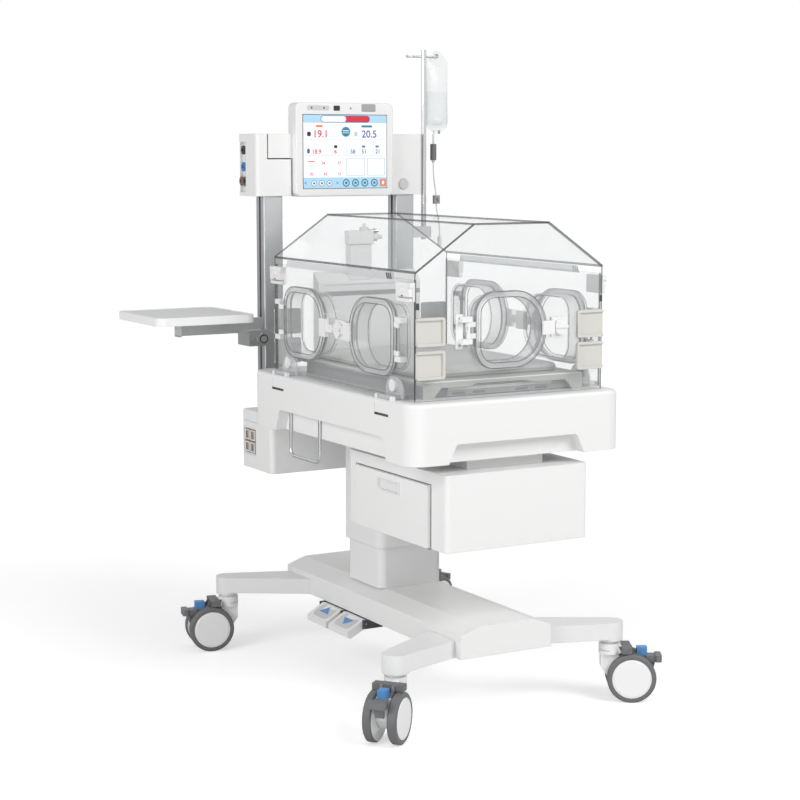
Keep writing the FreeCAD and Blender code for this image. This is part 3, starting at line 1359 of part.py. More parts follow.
node("mattress", slab(
    "Mattress", "XY", (mattress_low, mattress_low + mattress_thick),
    (-deck_half + mattress_inset, deck_half - mattress_inset),
    (deck_front + 2 * mattress_inset, deck_rear - mattress_inset), deck_round,
    [(mattress_soft, mattress_low + mattress_thick)]))

duct_rear = hood_end - panel_thick - running_gap
duct_rise = (duct_top - duct_shoulder) / (duct_rear - duct_front)
duct_points = [
    (duct_front, shell_top), (duct_rear, shell_top), (duct_rear, duct_top), (duct_front, duct_shoulder),
]
duct_body = prism("DuctBody", "YZ", (duct_left, duct_right), duct_points)
duct_slot = box("DuctSlot", (duct_left + plinth_inset, duct_right - plinth_inset),
                (duct_front - 1, duct_front + duct_groove), (duct_band, duct_shoulder - 2 * duct_groove))
node("rear_air_duct", cut("RearAirDuct", duct_body, duct_slot))


def above_duct(place):
    """The height just over the duct's sloping top."""
    return duct_shoulder + (place - duct_front) * duct_rise + running_gap


post_points = [
    (post_front_y, above_duct(post_front_y)), (duct_rear, above_duct(duct_rear)),
    (duct_rear, sensor_post_top), (post_front_y, sensor_post_top),
]
post = prism("PostBody", "YZ", (post_left_x, post_right_x), post_points)
head = slab("PostHead", "XY", (sensor_post_top, sensor_head_top),
            (post_left_x - sensor_head_over, post_right_x + sensor_head_over),
            (post_front_y - sensor_head_over, duct_rear), sensor_head_over)
cap_middle = ((post_front_y + duct_rear) / 2, (sensor_post_top + sensor_head_top) / 2)
cap_start = post_right_x + sensor_head_over
cap = rod("PostCap", "X", cap_middle, (cap_start, cap_start + sensor_cap_length), sensor_cap_radius)
tip = rod("PostTip", "X", cap_middle, (cap_start + sensor_cap_length, cap_start + 2 * sensor_cap_length),
          sensor_cap_radius / 2)
node("sensor_post", fuse("SensorPost", post, head, cap, tip))

# Chrome bail under the left edge of the shell
bail_inset = cell("bail_inset", 25)
bail_front = cell("bail_front", 94)
bail_rear = cell("bail_rear", 259)
bail_low = cell("bail_low", 594)
bail_bend = cell("bail_bend", 20)
bail_radius = cell("bail_radius", 4)


def bend(name, centre, first, second, radius, section):
    """A quarter of a ring from one direction to another."""
    ring = doc.addObject("Part::Torus", name)
    third = first.cross(second)
    ring.Placement = FreeCAD.Placement(FreeCAD.Vector(), FreeCAD.Rotation(first, second, third, "ZXY"))
    bind(ring, "Radius1", radius)
    bind(ring, "Radius2", section)
    ring.Angle3 = 90
    for axis, place in zip("xyz", centre):
        bind(ring, "Placement.Base." + axis, place)
    return ring


forwards = FreeCAD.Vector(0, -1, 0)
backwards = FreeCAD.Vector(0, 1, 0)
downwards = FreeCAD.Vector(0, 0, -1)
bail_x = bail_inset - shell_half
bail_turn = bail_low + bail_bend
bail_pieces = [
    rod("BailFront", "Z", (bail_x, bail_front), (bail_turn, side_grip_top), bail_radius),
    rod("BailRear", "Z", (bail_x, bail_rear), (bail_turn, side_grip_top), bail_radius),
    rod("BailLow", "Y", (bail_x, bail_low), (bail_front + bail_bend, bail_rear - bail_bend), bail_radius),
    bend("BailBendFront", (bail_x, bail_front + bail_bend, bail_turn), forwards, downwards, bail_bend,
         bail_radius),
    bend("BailBendRear", (bail_x, bail_rear - bail_bend, bail_turn), backwards, downwards, bail_bend,
         bail_radius),
]
node("bail_handle", fuse("BailHandle", *bail_pieces))

# Side shelf: top, arm with the clamp round the left upright, and clamp knob
shelf_outer = cell("shelf_outer", -602)
shelf_inner = cell("shelf_inner", -318)
shelf_front = cell("shelf_front", 380)
shelf_rear = cell("shelf_rear", 676)
shelf_low = cell("shelf_low", 938)
shelf_high = cell("shelf_high", 960)
shelf_round = cell("shelf_round", 28)
shelf_rim = cell("shelf_rim", 8)
shelf_dish = cell("shelf_dish", 2)
shelf_arm_outer = cell("shelf_arm_outer", -480)
shelf_arm_front = cell("shelf_arm_front", 512)
shelf_arm_rear = cell("shelf_arm_rear", 538)
shelf_arm_low = cell("shelf_arm_low", 898)
beam_flange = cell("beam_flange", 3)
beam_flange_round = cell("beam_flange_round", 4)
clamp_low = cell("clamp_low", 862)
clamp_outer = cell("clamp_outer", -290)
clamp_jaw_inner = cell("clamp_jaw_inner", -196)
clamp_jaw_thick = cell("clamp_jaw_thick", 12)
knob_x = cell("knob_x", -254)
knob_z = cell("knob_z", 883)
knob_radius = cell("knob_radius", 14)
knob_length = cell("knob_length", 16)
knob_stud_radius = cell("knob_stud_radius", 4)
knob_stud_length = cell("knob_stud_length", 10)
knob_wing = cell("knob_wing", 4)

shelf_x = (shelf_outer, shelf_inner)
shelf_y = (shelf_front, shelf_rear)
shelf_plate = slab("ShelfPlate", "XY", (shelf_low, shelf_high), shelf_x, shelf_y, shelf_round)
shelf_dished = slab("ShelfDish", "XY", (shelf_high - shelf_dish, shelf_high + 1),
                    (shelf_outer + shelf_rim, shelf_inner - shelf_rim),
                    (shelf_front + shelf_rim, shelf_rear - shelf_rim), shelf_round - shelf_rim)
node("shelf_top", cut("ShelfTop", shelf_plate, shelf_dished))
clamp_inner = -post_outer - running_gap
jaw_front = post_front - running_gap
jaw_rear = post_rear + running_gap
clamp_x = (clamp_outer, clamp_jaw_inner)
clamp_y = (jaw_front - clamp_jaw_thick, jaw_rear + clamp_jaw_thick)
clamp_z = (clamp_low, shelf_arm_low + shelf_rim)
clamp = cut("ShelfClamp", box("ClampBlock", clamp_x, clamp_y, clamp_z),
            box("ClampRoom", (clamp_inner, 0), (jaw_front, jaw_rear), (clamp_low - 1, shelf_low)),
            rod("KnobBore", "Y", (knob_x, knob_z),
                (clamp_y[0] - 1, clamp_y[0] + knob_stud_length + running_gap),
                knob_stud_radius + shaft_gap))
arm_beam = box("ShelfBeam", (shelf_arm_outer, clamp_inner), (shelf_arm_front, shelf_arm_rear),
               (shelf_arm_low, shelf_low))
arm_end = slab("ShelfBeamEnd", "YZ", (shelf_arm_outer - shelf_rim, shelf_arm_outer),
               (shelf_arm_front - beam_flange, shelf_arm_rear + beam_flange),
               (shelf_arm_low - beam_flange, shelf_low), beam_flange_round)
node("shelf_arm", fuse("ShelfArm", clamp, arm_beam, arm_end))
knob_y = clamp_y[0] - running_gap
knob_head = rod("KnobHead", "Y", (knob_x, knob_z), (knob_y - knob_length, knob_y), knob_radius)
knob_stud = rod("KnobStud", "Y", (knob_x, knob_z), (knob_y, knob_y + knob_stud_length), knob_stud_radius)
knob_bar = box("KnobWing", (knob_x - knob_radius - knob_wing, knob_x + knob_radius + knob_wing),
               (knob_y - knob_length, knob_y - knob_wing), (knob_z - knob_wing, knob_z + knob_wing))
node("shelf_knob", fuse("ShelfKnob", knob_head, knob_stud, knob_bar))

# Infusion pole in its bracket, bag on the right hook, drip set and line
pole_x = cell("pole_x", 285)
pole_y = cell("pole_y", 527)
pole_radius = cell("pole_radius", 7.5)
pole_low = cell("pole_low", 1140)
pole_tip = cell("pole_tip", 19)
hook_z = cell("hook_z", 1658)
hook_reach = cell("hook_reach", 48)
hook_radius = cell("hook_radius", 3)
hook_depth = cell("hook_depth", 16)
hook_bend = cell("hook_bend", 6)
hook_tip = cell("hook_tip", 4)
bracket_low_z = cell("bracket_low_z", 1146)
bracket_high_z = cell("bracket_high_z", 1177)
bracket_outer = cell("bracket_outer", 302)
bracket_half = cell("bracket_half", 20)
bracket_soft = cell("bracket_soft", 8)
bag_hang = cell("bag_hang", 16)
bag_length = cell("bag_length", 184)
bag_half = cell("bag_half", 36)
bag_thick = cell("bag_thick", 34)
bag_round = cell("bag_round", 14)
bag_soft = cell("bag_soft", 12)
bag_eye = cell("bag_eye", 6)
bag_flange = cell("bag_flange", 3)
bag_flange_half = cell("bag_flange_half", 26)
bag_neck = cell("bag_neck", 6)
bag_neck_low = cell("bag_neck_low", 1440)
drip_x = cell("drip_x", 322)
drip_top = cell("drip_top", 1412)
drip_low = cell("drip_low", 1366)
drip_radius = cell("drip_radius", 9)
drip_spike = cell("drip_spike", 3)
drip_outlet = cell("drip_outlet", 1358)
drip_shoulder = cell("drip_shoulder", 3)
roller_x = cell("roller_x", 331)
roller_half = cell("roller_half", 9)
roller_low = cell("roller_low", 1241)
roller_high = cell("roller_high", 1265)
roller_wheel = cell("roller_wheel", 6)
luer_x = cell("luer_x", 344)
luer_low = cell("luer_low", 1118)
luer_high = cell("luer_high", 1146)
luer_radius = cell("luer_radius", 6)
line_radius = cell("line_radius", 2)
line_slack = cell("line_slack", 0.8)

pole = rod("PoleTube", "Z", (pole_x, pole_y), (pole_low, hook_z + pole_tip), pole_radius)
hook_bar = rod("HookBar", "X", (pole_y, hook_z),
               (pole_x - hook_reach + hook_bend, pole_x + hook_reach - hook_bend), hook_radius)
hook_pieces = [pole, hook_bar]
for side in (-1, 1):
    tip_x = pole_x + side * hook_reach
    tip_y = pole_y + hook_depth
    name = "Hook%d" % (side + 1)
    sideways = FreeCAD.Vector(side, 0, 0)
    hook_pieces.append(bend(name + "Turn", (tip_x - side * hook_bend, pole_y + hook_bend, hook_z),
                            forwards, sideways, hook_bend, hook_radius))
    hook_pieces.append(rod(name + "Peg", "Y", (tip_x, hook_z), (pole_y + hook_bend, tip_y - hook_bend),
                           hook_radius))
    hook_pieces.append(bend(name + "Rise", (tip_x, tip_y - hook_bend, hook_z + hook_bend),
                            downwards, backwards, hook_bend, hook_radius))
    hook_pieces.append(rod(name + "Tip", "Z", (tip_x, tip_y),
                           (hook_z + hook_bend, hook_z + hook_bend + hook_tip),
                           hook_radius))
node("iv_pole", fuse("InfusionPole", *hook_pieces))
bracket_body = slab("PoleBracketBody", "XY", (bracket_low_z, bracket_high_z), (post_outer, bracket_outer),
                    (pole_y - bracket_half, pole_y + bracket_half), bracket_soft)
bracket_bore = rod("PoleBracketBore", "Z", (pole_x, pole_y), (bracket_low_z - 1, bracket_high_z + 1),
                   pole_radius + shaft_gap)
node("iv_bracket", cut("PoleBracket", bracket_body, bracket_bore))

bag_high = hook_z - bag_hang
bag_low = bag_high - bag_length
bag_flange_top = hook_z + bag_hang
bag_x = pole_x + hook_reach
bag_y = pole_y + hook_depth / 2
eye_z = hook_z + hook_radius + running_gap - bag_eye
bag_body = slab("BagBody", "XZ", (bag_y - bag_thick / 2, bag_y + bag_thick / 2),
                (bag_x - bag_half, bag_x + bag_half),
                (bag_low, bag_high), bag_round,
                [(bag_soft, bag_y - bag_thick / 2), (bag_soft, bag_y + bag_thick / 2)])
flange = slab("BagFlange", "XZ", (bag_y - bag_flange / 2, bag_y + bag_flange / 2),
              (bag_x - bag_flange_half, bag_x + bag_flange_half), (bag_high - bag_soft, bag_flange_top),
              bag_eye)
neck = rod("BagNeck", "Z", (drip_x, bag_y), (bag_neck_low, bag_low + bag_soft), bag_neck)
eye = rod("BagEye", "Y", (bag_x, eye_z), (bag_y - bag_flange, bag_y + bag_flange), bag_eye)
node("infusion_bag", cut("InfusionBag", fuse("BagWhole", bag_body, flange, neck), eye))

chamber = fuse(
    "DripChamber",
    rod("DripBody", "Z", (drip_x, bag_y), (drip_low, drip_top), drip_radius),
    rod("DripSpike", "Z", (drip_x, bag_y), (drip_top, bag_neck_low), drip_spike),
    taper("DripOutlet", "Z", (drip_x, bag_y), (drip_outlet, drip_low), drip_spike,
          drip_radius - drip_shoulder))
roller = cut(
    "RollerClamp",
    fuse("RollerWhole",
         slab("RollerBody", "XY", (roller_low, roller_high), (roller_x - roller_half, roller_x + roller_half),
              (bag_y - roller_half, bag_y + roller_half / 2), line_radius),
         rod("RollerWheel", "X", (bag_y - roller_half, (roller_low + roller_high) / 2),
             (roller_x - line_radius, roller_x + line_radius), roller_wheel)),
    rod("RollerBore", "Z", (roller_x, bag_y), (roller_low - 1, roller_high + 1), line_radius + line_slack))
luer = rod("Luer", "Z", (luer_x, bag_y), (luer_low, luer_high), luer_radius)
node("drip_set", group("DripSet", chamber, roller, luer))

# The infusion line hangs from the drip chamber through the roller clamp to its end connector:
# height and sideways place of each point, chosen along the line's real course
line_places = [(1319, 0), (1277, 9), (1232, 9), (1184, 22)]
line_points = [FreeCAD.Vector(drip_x.value, bag_y.value, drip_outlet.value)]
for height, sideways in line_places:
    line_points.append(FreeCAD.Vector(drip_x.value + sideways, bag_y.value, height))
line_points.append(FreeCAD.Vector(luer_x.value, bag_y.value, luer_high.value))
ARC_SHARE = 0.45


def cord_path(points):
    """Straight runs joined by tangent arcs as large as the runs allow, with the path's length."""
    edges = []
    start = points[0]
    for before, corner, after in zip(points, points[1:], points[2:]):
        back = (before - corner)
        ahead = (after - corner)
        reach = ARC_SHARE * min(back.Length, ahead.Length)
        back.normalize()
        ahead.normalize()
        half_turn = (math.pi - back.getAngle(ahead)) / 2
        radius = reach / math.tan(half_turn)
        print("line radius %.0f, turn %.0f degrees" % (radius, math.degrees(2 * half_turn)))
        first = corner + back * reach
        last = corner + ahead * reach
        inward = (back + ahead).normalize()
        middle = corner + inward * (radius / math.cos(half_turn) - radius)
        edges.append(Part.LineSegment(start, first).toShape())
        edges.append(Part.Arc(first, middle, last).toShape())
        start = last
    edges.append(Part.LineSegment(start, points[-1]).toShape())
    return Part.Wire(edges)


path = cord_path(line_points)
section = Part.Wire([Part.Circle(line_points[0], line_points[1] - line_points[0],
                                 line_radius.value).toShape()])
line_tube = path.makePipeShell([section], True, True)
expected = math.pi * line_radius.value ** 2 * path.Length
print("line %.1f mm long, volume %.4f of its section times its length" % (path.Length,
                                                                          line_tube.Volume / expected))
line = doc.addObject("Part::Feature", "InfusionLine")
line.Shape = line_tube
node("infusion_line", line)


doc.recompute()
for thing in doc.Objects:
    if "Invalid" in thing.State or "Error" in thing.State:
        raise RuntimeError("%s is not built: %s" % (thing.Name, thing.State))
for label, piece in nodes.items():
    if piece.Label != label:
        raise RuntimeError("the name %s is taken" % label)
    if piece.Shape.isNull() or not piece.Shape.isValid():
        raise RuntimeError("%s has no valid shape" % label)

os.makedirs("parts", exist_ok=True)
for label, piece in nodes.items():
    piece.Shape.exportStep("parts/%s.step" % label)
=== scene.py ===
import json
import math

import bmesh
import bpy
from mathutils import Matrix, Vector
from mathutils.bvhtree import BVHTree


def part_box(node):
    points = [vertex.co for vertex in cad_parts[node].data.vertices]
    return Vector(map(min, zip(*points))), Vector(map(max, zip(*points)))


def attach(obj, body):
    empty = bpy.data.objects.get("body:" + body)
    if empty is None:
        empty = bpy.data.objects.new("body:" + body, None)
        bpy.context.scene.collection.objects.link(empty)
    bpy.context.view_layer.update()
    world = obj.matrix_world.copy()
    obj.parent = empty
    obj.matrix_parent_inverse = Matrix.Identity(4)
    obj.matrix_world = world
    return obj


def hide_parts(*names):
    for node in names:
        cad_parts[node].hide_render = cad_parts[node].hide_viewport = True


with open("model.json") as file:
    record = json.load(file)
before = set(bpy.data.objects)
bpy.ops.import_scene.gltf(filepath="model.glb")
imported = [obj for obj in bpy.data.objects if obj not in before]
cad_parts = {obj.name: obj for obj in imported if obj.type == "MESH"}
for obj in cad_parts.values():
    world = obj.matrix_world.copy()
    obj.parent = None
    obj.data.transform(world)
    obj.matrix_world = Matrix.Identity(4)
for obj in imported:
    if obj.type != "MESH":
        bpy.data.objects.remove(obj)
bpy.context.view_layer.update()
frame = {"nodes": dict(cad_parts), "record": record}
NODES = frame["nodes"]
MM = 0.001

# The hood's middle in the common frame, which all places below are counted from: the tray
# shell's middle in X and the canopy's in Y
SHELL_LOW, SHELL_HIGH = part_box("tray_shell")
CANOPY_LOW, CANOPY_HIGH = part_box("hood_canopy")
MIDDLE_X = (SHELL_LOW.x + SHELL_HIGH.x) / 2
MIDDLE_Y = (CANOPY_LOW.y + CANOPY_HIGH.y) / 2


def place(x, y, z):
    """A point given in millimetres from the hood's middle, on the floor, in the common frame."""
    return Vector((MIDDLE_X + x * MM, MIDDLE_Y + y * MM, z * MM))


# Camera, fitted to the photograph's upright and level edges
CAMERA_PLACE = (-2503.6, -4194.6, 1399.8)
CAMERA_YAW = -29.859
CAMERA_PITCH = 7.5575
CAMERA_LENS = 85.392
SENSOR_WIDTH = 36


def add_object(name, data):
    """A new object in the scene."""
    made = bpy.data.objects.new(name, data)
    bpy.context.scene.collection.objects.link(made)
    return made


def make_camera():
    """The camera that sees the object as the photograph does."""
    data = bpy.data.cameras.new("camera")
    data.lens = CAMERA_LENS
    data.sensor_width = SENSOR_WIDTH
    data.clip_start = 0.05
    data.clip_end = 60
    camera = add_object("camera", data)
    camera.location = place(*CAMERA_PLACE)
    camera.rotation_euler = (math.radians(90 - CAMERA_PITCH), 0, math.radians(CAMERA_YAW))
    bpy.context.scene.camera = camera


# Materials
def settle(node, values):
    """Sets a node's inputs, which are named with underscores for spaces."""
    for name, value in values.items():
        node.inputs[name.replace("_", " ")].default_value = value


def add(tree, kind, **values):
    """A new node with some of its inputs set."""
    node = tree.nodes.new(kind)
    settle(node, values)
    return node


def join(tree, source, output, target, socket):
    """Links an output of one node to an input of another."""
    tree.links.new(source.outputs[output], target.inputs[socket])


def principled(name, **values):
    """A new material with its shader, whose own inputs are set."""
    material = bpy.data.materials.new(name)
    material.use_nodes = True
    shader = material.node_tree.nodes["Principled BSDF"]
    settle(shader, values)
    return material, material.node_tree, shader


def surface_grain(tree, shader, colour, grain, bump, spread, edge):
    """Object-space noise for slight colour variation and bump, over edges softened by a bevel."""
    coordinates = add(tree, "ShaderNodeTexCoord")
    noise = add(tree, "ShaderNodeTexNoise", Scale=grain, Detail=3)
    ramp = add(tree, "ShaderNodeValToRGB")
    ramp.color_ramp.elements[0].color = [c * (1 - spread) for c in colour] + [1]
    ramp.color_ramp.elements[1].color = [min(1, c * (1 + spread)) for c in colour] + [1]
    relief = add(tree, "ShaderNodeBump", Strength=bump, Distance=0.0004)
    join(tree, coordinates, "Object", noise, "Vector")
    join(tree, noise, "Fac", ramp, "Fac")
    join(tree, ramp, "Color", shader, "Base Color")
    join(tree, noise, "Fac", relief, "Height")
    if edge:
        bevel = add(tree, "ShaderNodeBevel", Radius=edge * MM)
        bevel.samples = 4
        join(tree, bevel, "Normal", relief, "Normal")
    join(tree, relief, "Normal", shader, "Normal")


def moulded(name, colour, roughness=0.4, grain=700, bump=0.08, spread=0.01, edge=1.5, coat=0.0):
    """Moulded plastic or powder-coated metal."""
    material, tree, shader = principled(name, Roughness=roughness, Coat_Weight=coat)
    surface_grain(tree, shader, colour, grain, bump, spread, edge)
    return material


def metal(name, colour, roughness, brushed=0.0):
    """Bare metal, brushed along the upright direction where asked."""
    material, tree, shader = principled(name, Metallic=1, Roughness=roughness, Base_Color=(*colour, 1))
    if brushed:
        coordinates = add(tree, "ShaderNodeTexCoord")
        stretch = add(tree, "ShaderNodeMapping", Scale=(1200, 1200, 6))
        noise = add(tree, "ShaderNodeTexNoise", Scale=1)
        relief = add(tree, "ShaderNodeBump", Strength=brushed, Distance=0.0002)
        join(tree, coordinates, "Object", stretch, "Vector")
        join(tree, stretch, "Vector", noise, "Vector")
        join(tree, noise, "Fac", relief, "Height")
        join(tree, relief, "Normal", shader, "Normal")
    return material


def clear(name, colour, alpha, roughness=0.04, rim=None):
    """Clear sheet with a gloss and a slight tint, denser where it is seen edge on if it has a rim."""
    material, tree, shader = principled(name, Base_Color=(*colour, 1), Roughness=roughness, Alpha=alpha,
                                        IOR=1.49, Coat_Weight=0.3)
    if rim:
        facing = add(tree, "ShaderNodeLayerWeight", Blend=0.35)
        density = add(tree, "ShaderNodeMapRange", To_Min=alpha, To_Max=rim)
        join(tree, facing, "Facing", density, "Value")
        join(tree, density, "Result", shader, "Alpha")
    return material


def lit(name, colour):
    """A lit part of the display."""
    dim = [c * 0.3 for c in colour]
    return principled(name, Base_Color=(*dim, 1), Roughness=0.3, Emission_Color=(*colour, 1),
                      Emission_Strength=0.8)[0]


WHITE = moulded("white_housing", (0.84, 0.84, 0.835), 0.42, edge=2)
WHITE_GLOSS = moulded("white_fitting", (0.86, 0.86, 0.86), 0.25, edge=1, coat=0.2)
# White powder coat, also used as painted shade in the drawer's handle pocket
POWDER_COAT_AND_PAINTED_SHADE = moulded("white_powder_coat_and_painted_shade", (0.8, 0.8, 0.8), 0.35, grain=1400, edge=2)
PALE_GREY = moulded("pale_grey", (0.6, 0.605, 0.61), 0.4)
MID_GREY = moulded("mid_grey", (0.32, 0.325, 0.33), 0.45)
SHADE_GREY = moulded("shaded_grey", (0.16, 0.165, 0.17), 0.5)
DARK = moulded("dark_plastic", (0.05, 0.053, 0.06), 0.45)
BLACK = moulded("black_plastic", (0.012, 0.012, 0.014), 0.3)
# Grey of the tyres, also used as painted shade on the casters' fenders
TYRE_AND_PAINTED_SHADE = moulded("grey_tyre_and_painted_shade", (0.14, 0.142, 0.147), 0.55, grain=1600, bump=0.2)
BLUE = moulded("blue_tab", (0.08, 0.26, 0.56), 0.4)
BROWN = moulded("brown_socket", (0.24, 0.16, 0.11), 0.45)
GROMMET = moulded("beige_rubber", (0.64, 0.63, 0.59), 0.6, grain=1100)
TRAY = moulded("tray_moulding", (0.46, 0.46, 0.43), 0.5, grain=900)
RAIL = metal("anodised_rail", (0.5, 0.51, 0.52), 0.36, brushed=0.25)
CAST = metal("cast_arm", (0.5, 0.505, 0.51), 0.42)
CHROME = metal("bright_steel", (0.62, 0.63, 0.65), 0.14)
CLEAR = clear("clear_sheet", (0.8, 0.83, 0.84), 0.12)
CLEAR_EDGE = clear("clear_sheet_edge", (0.05, 0.055, 0.06), 0.8, 0.2)
PORT_CLEAR = clear("port_lid", (0.85, 0.87, 0.88), 0.14)
PORT_RIM = clear("port_lid_rim", (0.6, 0.61, 0.62), 0.14, 0.1, rim=0.55)
PORT_LINE = clear("port_edge_line", (0.16, 0.165, 0.17), 0.62, 0.2)
PORT_RING = clear("port_gasket", (0.84, 0.85, 0.85), 0.3, 0.2, rim=0.6)
FITTING_CLEAR = clear("clear_bracket", (0.74, 0.76, 0.78), 0.36, 0.1, rim=0.8)
FILM = clear("bag_film", (0.76, 0.79, 0.8), 0.16, 0.1, rim=0.75)
TUBE = clear("clear_tube", (0.75, 0.8, 0.82), 0.6, 0.1)
FLUID = clear("bag_fluid", (0.78, 0.84, 0.87), 0.1, 0.06, rim=0.4)
CLOTH = moulded("mattress_cover", (0.6, 0.6, 0.585), 0.6, grain=260, bump=0.35, edge=0)
PIPING = moulded("mattress_piping", (0.42, 0.42, 0.41), 0.6, grain=500, bump=0.3, edge=0)
PALE_BLUE = moulded("pale_blue_print", (0.5, 0.62, 0.72), 0.45, edge=0)
TRAY_LIGHT = moulded("tray_bar", (0.66, 0.66, 0.62), 0.45, edge=0.5)
WARM_WHITE = moulded("warm_white", (0.74, 0.72, 0.66), 0.35, edge=0.5)
LAMP_GREY = moulded("lamp_cover", (0.36, 0.365, 0.37), 0.4, edge=0)
PLATE_GREY = moulded("socket_plate", (0.4, 0.37, 0.35), 0.45)
SCREEN_WHITE = lit("screen_white", (0.9, 0.93, 0.95))
SCREEN_BLUE = lit("screen_blue", (0.42, 0.66, 0.84))
SCREEN_RED = lit("screen_red", (0.62, 0.02, 0.04))
SCREEN_NAVY = lit("screen_navy", (0.05, 0.09, 0.32))
SCREEN_TEAL = lit("screen_teal", (0.03, 0.2, 0.28))
SCREEN_ORANGE = lit("screen_orange", (0.85, 0.2, 0.07))
SCREEN_GREY = lit("screen_grey", (0.5, 0.55, 0.6))


# Sizes of the object that materials and details are placed by, in millimetres from the hood's middle
HOOD_HALF = 268
HOOD_END = 373
RIDGE_HALF = 108
EAVES = 1114.5
RIDGE = 1224.2
ROOF_EDGE = 7.5
SIDE_PORT_Y = 181
SIDE_PORT_Z = 949
SIDE_PORT_HALF = 113
END_PORT_X = -8
END_PORT_Z = 968
END_PORT_HALF = 102
PORT_HALF_HEIGHT = 93.5
CORNER_STEPS = 12
HINGE_ROUND = 55
LATCH_ROUND = 90
PORT_BAND = 14
RING_THICK = 7
LID_NEAR = 8.2
LID_FAR = 13.3
SIDE_TAB_HALF = 24
END_TAB_HALF = 18
BRACKET_Y = 280
BRACKET_TOP = 859
BRACKET_CAP_Z = 838
BRACKET_CAP_RADIUS = 15.5
BRACKET_THICK = 4.1
RAIL_LOW = 1088.5
SLEEVE_DEEP = 33
HINGE_ROD_Y = 312
HINGE_ROD_OUT = 12
HINGE_ROD_REACH = 3.15
CATCH_Y = 338
CATCH_Z = 1072
MATTRESS_TRAY_LIP = 846
PLINTH_TOP = 842
PLINTH_FRONT = -325
SLIT_X = (296.5, 304.9)
SLIT_Y = (-310, 320)
SLIT_Z = (765.9, 772.1)
CABINET_HALF = 205
HANDLE_DEEP = 7
HANDLE_POCKET_Y = (-205, -95)
HANDLE_POCKET_Z = (552, 580)
DRAWER_SCREW_Y = (-330, 17)
DRAWER_SCREW_Z = (452, 588)
UPRIGHT_INNER = 179
UPRIGHT_OUTER = 237
UPRIGHT_Y = (502, 548)
SOCKET_PANEL_X = -238.5
PANEL_THICK = 2
SOCKET_PANEL_Y = (550, 626)
SOCKET_PANEL_Z = (547, 622)
SOCKET_Y = (571, 605)
SOCKET_Z = (567.5, 601.5)
RECESS_HALF = 157
EAR_REACH = 230
EAR_LOW = 1369
RECESS_Y = (493, 533)
RECESS_Z = (1270.5, 1438.5)
RECESS_BACK = 531
SENSOR_WINDOW_X = -246.5
SENSOR_WINDOW_Y = (561, 606)
SENSOR_WINDOW_Z = (1282, 1416)
SENSOR_PORTS = [(583.5, 1395), (583.5, 1349), (570.5, 1310), (596.5, 1310)]
SENSOR_PORT_RADIUS = 10.4
SHELF_MAT_LEVEL = 959.5
WHEEL_DISC_RADIUS = 50.5
STEM_RADIUS = 30
STEM_SEAM = (129, 133)
FENDER_LOW = 118
BRAKE_TAB_LOW = 119.5
DRIP_CHAMBER = (1366, 1412)
ROLLER_CLAMP = (1240, 1266)
CONNECTOR_TOP = 1147


def inside(value, span):
    """Whether a value lies between the two ends of a span."""
    return span[0] < value < span[1]


def local(point):
    """A point of the frame in millimetres from the hood's middle."""
    return (point.x - MIDDLE_X) / MM, (point.y - MIDDLE_Y) / MM, point.z / MM


def dress(node, *materials, rule=None):
    """Gives a CAD node its materials, the first one everywhere unless a rule picks by face."""
    mesh = NODES[node].data
    mesh.materials.clear()
    for material in materials:
        mesh.materials.append(material)
    for face in mesh.polygons:
        face.material_index = rule(face) if rule else 0


def soften(node, angle=30):
    """Smooth shading below an angle, so round faces look round and corners stay crisp."""
    mesh = NODES[node].data
    for face in mesh.polygons:
        face.use_smooth = True
    mesh.set_sharp_from_angle(angle=math.radians(angle))


# How much of a face's direction lies along an axis that it looks along squarely, nearly or at all
SQUARE = 0.9
NEARLY = 0.7
FACING = 0.5


def clear_panel_rule(axis):
    """Big faces of a flat panel are clear; its rims are dark."""
    def rule(face):
        return 0 if abs(face.normal[axis]) > SQUARE else 1
    return rule


def canopy_rule(face):
    """The canopy's plates are clear; eaves and the roof's end rims are dark."""
    x, y, z = local(face.center)
    if abs(face.normal.y) < FACING:
        return 0 if abs(face.normal.z) > FACING else 1
    slope = (RIDGE - EAVES) / (HOOD_HALF - RIDGE_HALF)
    over = min(EAVES + (HOOD_HALF - abs(x)) * slope, RIDGE)
    return 1 if z > over - ROOF_EDGE else 0


def door_fittings_rule(side):
    """Clear gaskets and brackets, white blocks and caps, and bright hinge rods."""
    def rule(face):
        x, y, z = local(face.center)
        out = side * x - HOOD_HALF
        far = abs(y)
        if z < BRACKET_TOP:
            from_cap = math.hypot(far - BRACKET_Y, z - BRACKET_CAP_Z)
            return 0 if from_cap < BRACKET_CAP_RADIUS and out > BRACKET_THICK else 3
        if z > RAIL_LOW:
            return 3
        if abs(far - SIDE_PORT_Y) < SIDE_PORT_HALF + 1:
            return 1 if abs(face.normal.x) > FACING else 2
        on_rod = max(abs(far - HINGE_ROD_Y), abs(out - HINGE_ROD_OUT)) < HINGE_ROD_REACH
        return 4 if on_rod and abs(face.normal.z) < FACING else 0
    return rule


def end_frame_rule(face):
    """A clear gasket with a darker rim round the end port, between a white hinge and latch pad."""
    x, y, z = local(face.center)
    if abs(x - END_PORT_X) < END_PORT_HALF + 1:
        return 1 if abs(face.normal.y) > FACING else 2
    return 0


def port_door_rule(side):
    """A clear lid with a darker rim, and white latch tab and knuckles."""
    def rule(face):
        x, y, z = local(face.center)
        if side:
            along, level, normal = abs(y) - SIDE_PORT_Y, z - SIDE_PORT_Z, face.normal.x
            half, latch, tab = SIDE_PORT_HALF, -1, SIDE_TAB_HALF
            out = side * x - HOOD_HALF
        else:
            along, level, normal = x - END_PORT_X, z - END_PORT_Z, face.normal.y
            half, latch, tab = END_PORT_HALF, 1, END_TAB_HALF
            out = -y - HOOD_END
        if along * latch > half - PORT_BAND - 0.1 and abs(level) < tab and out > LID_NEAR:
            return 2
        if along * latch < -half + 1:
            return 2
        return 0 if abs(normal) > FACING else 1
    return rule


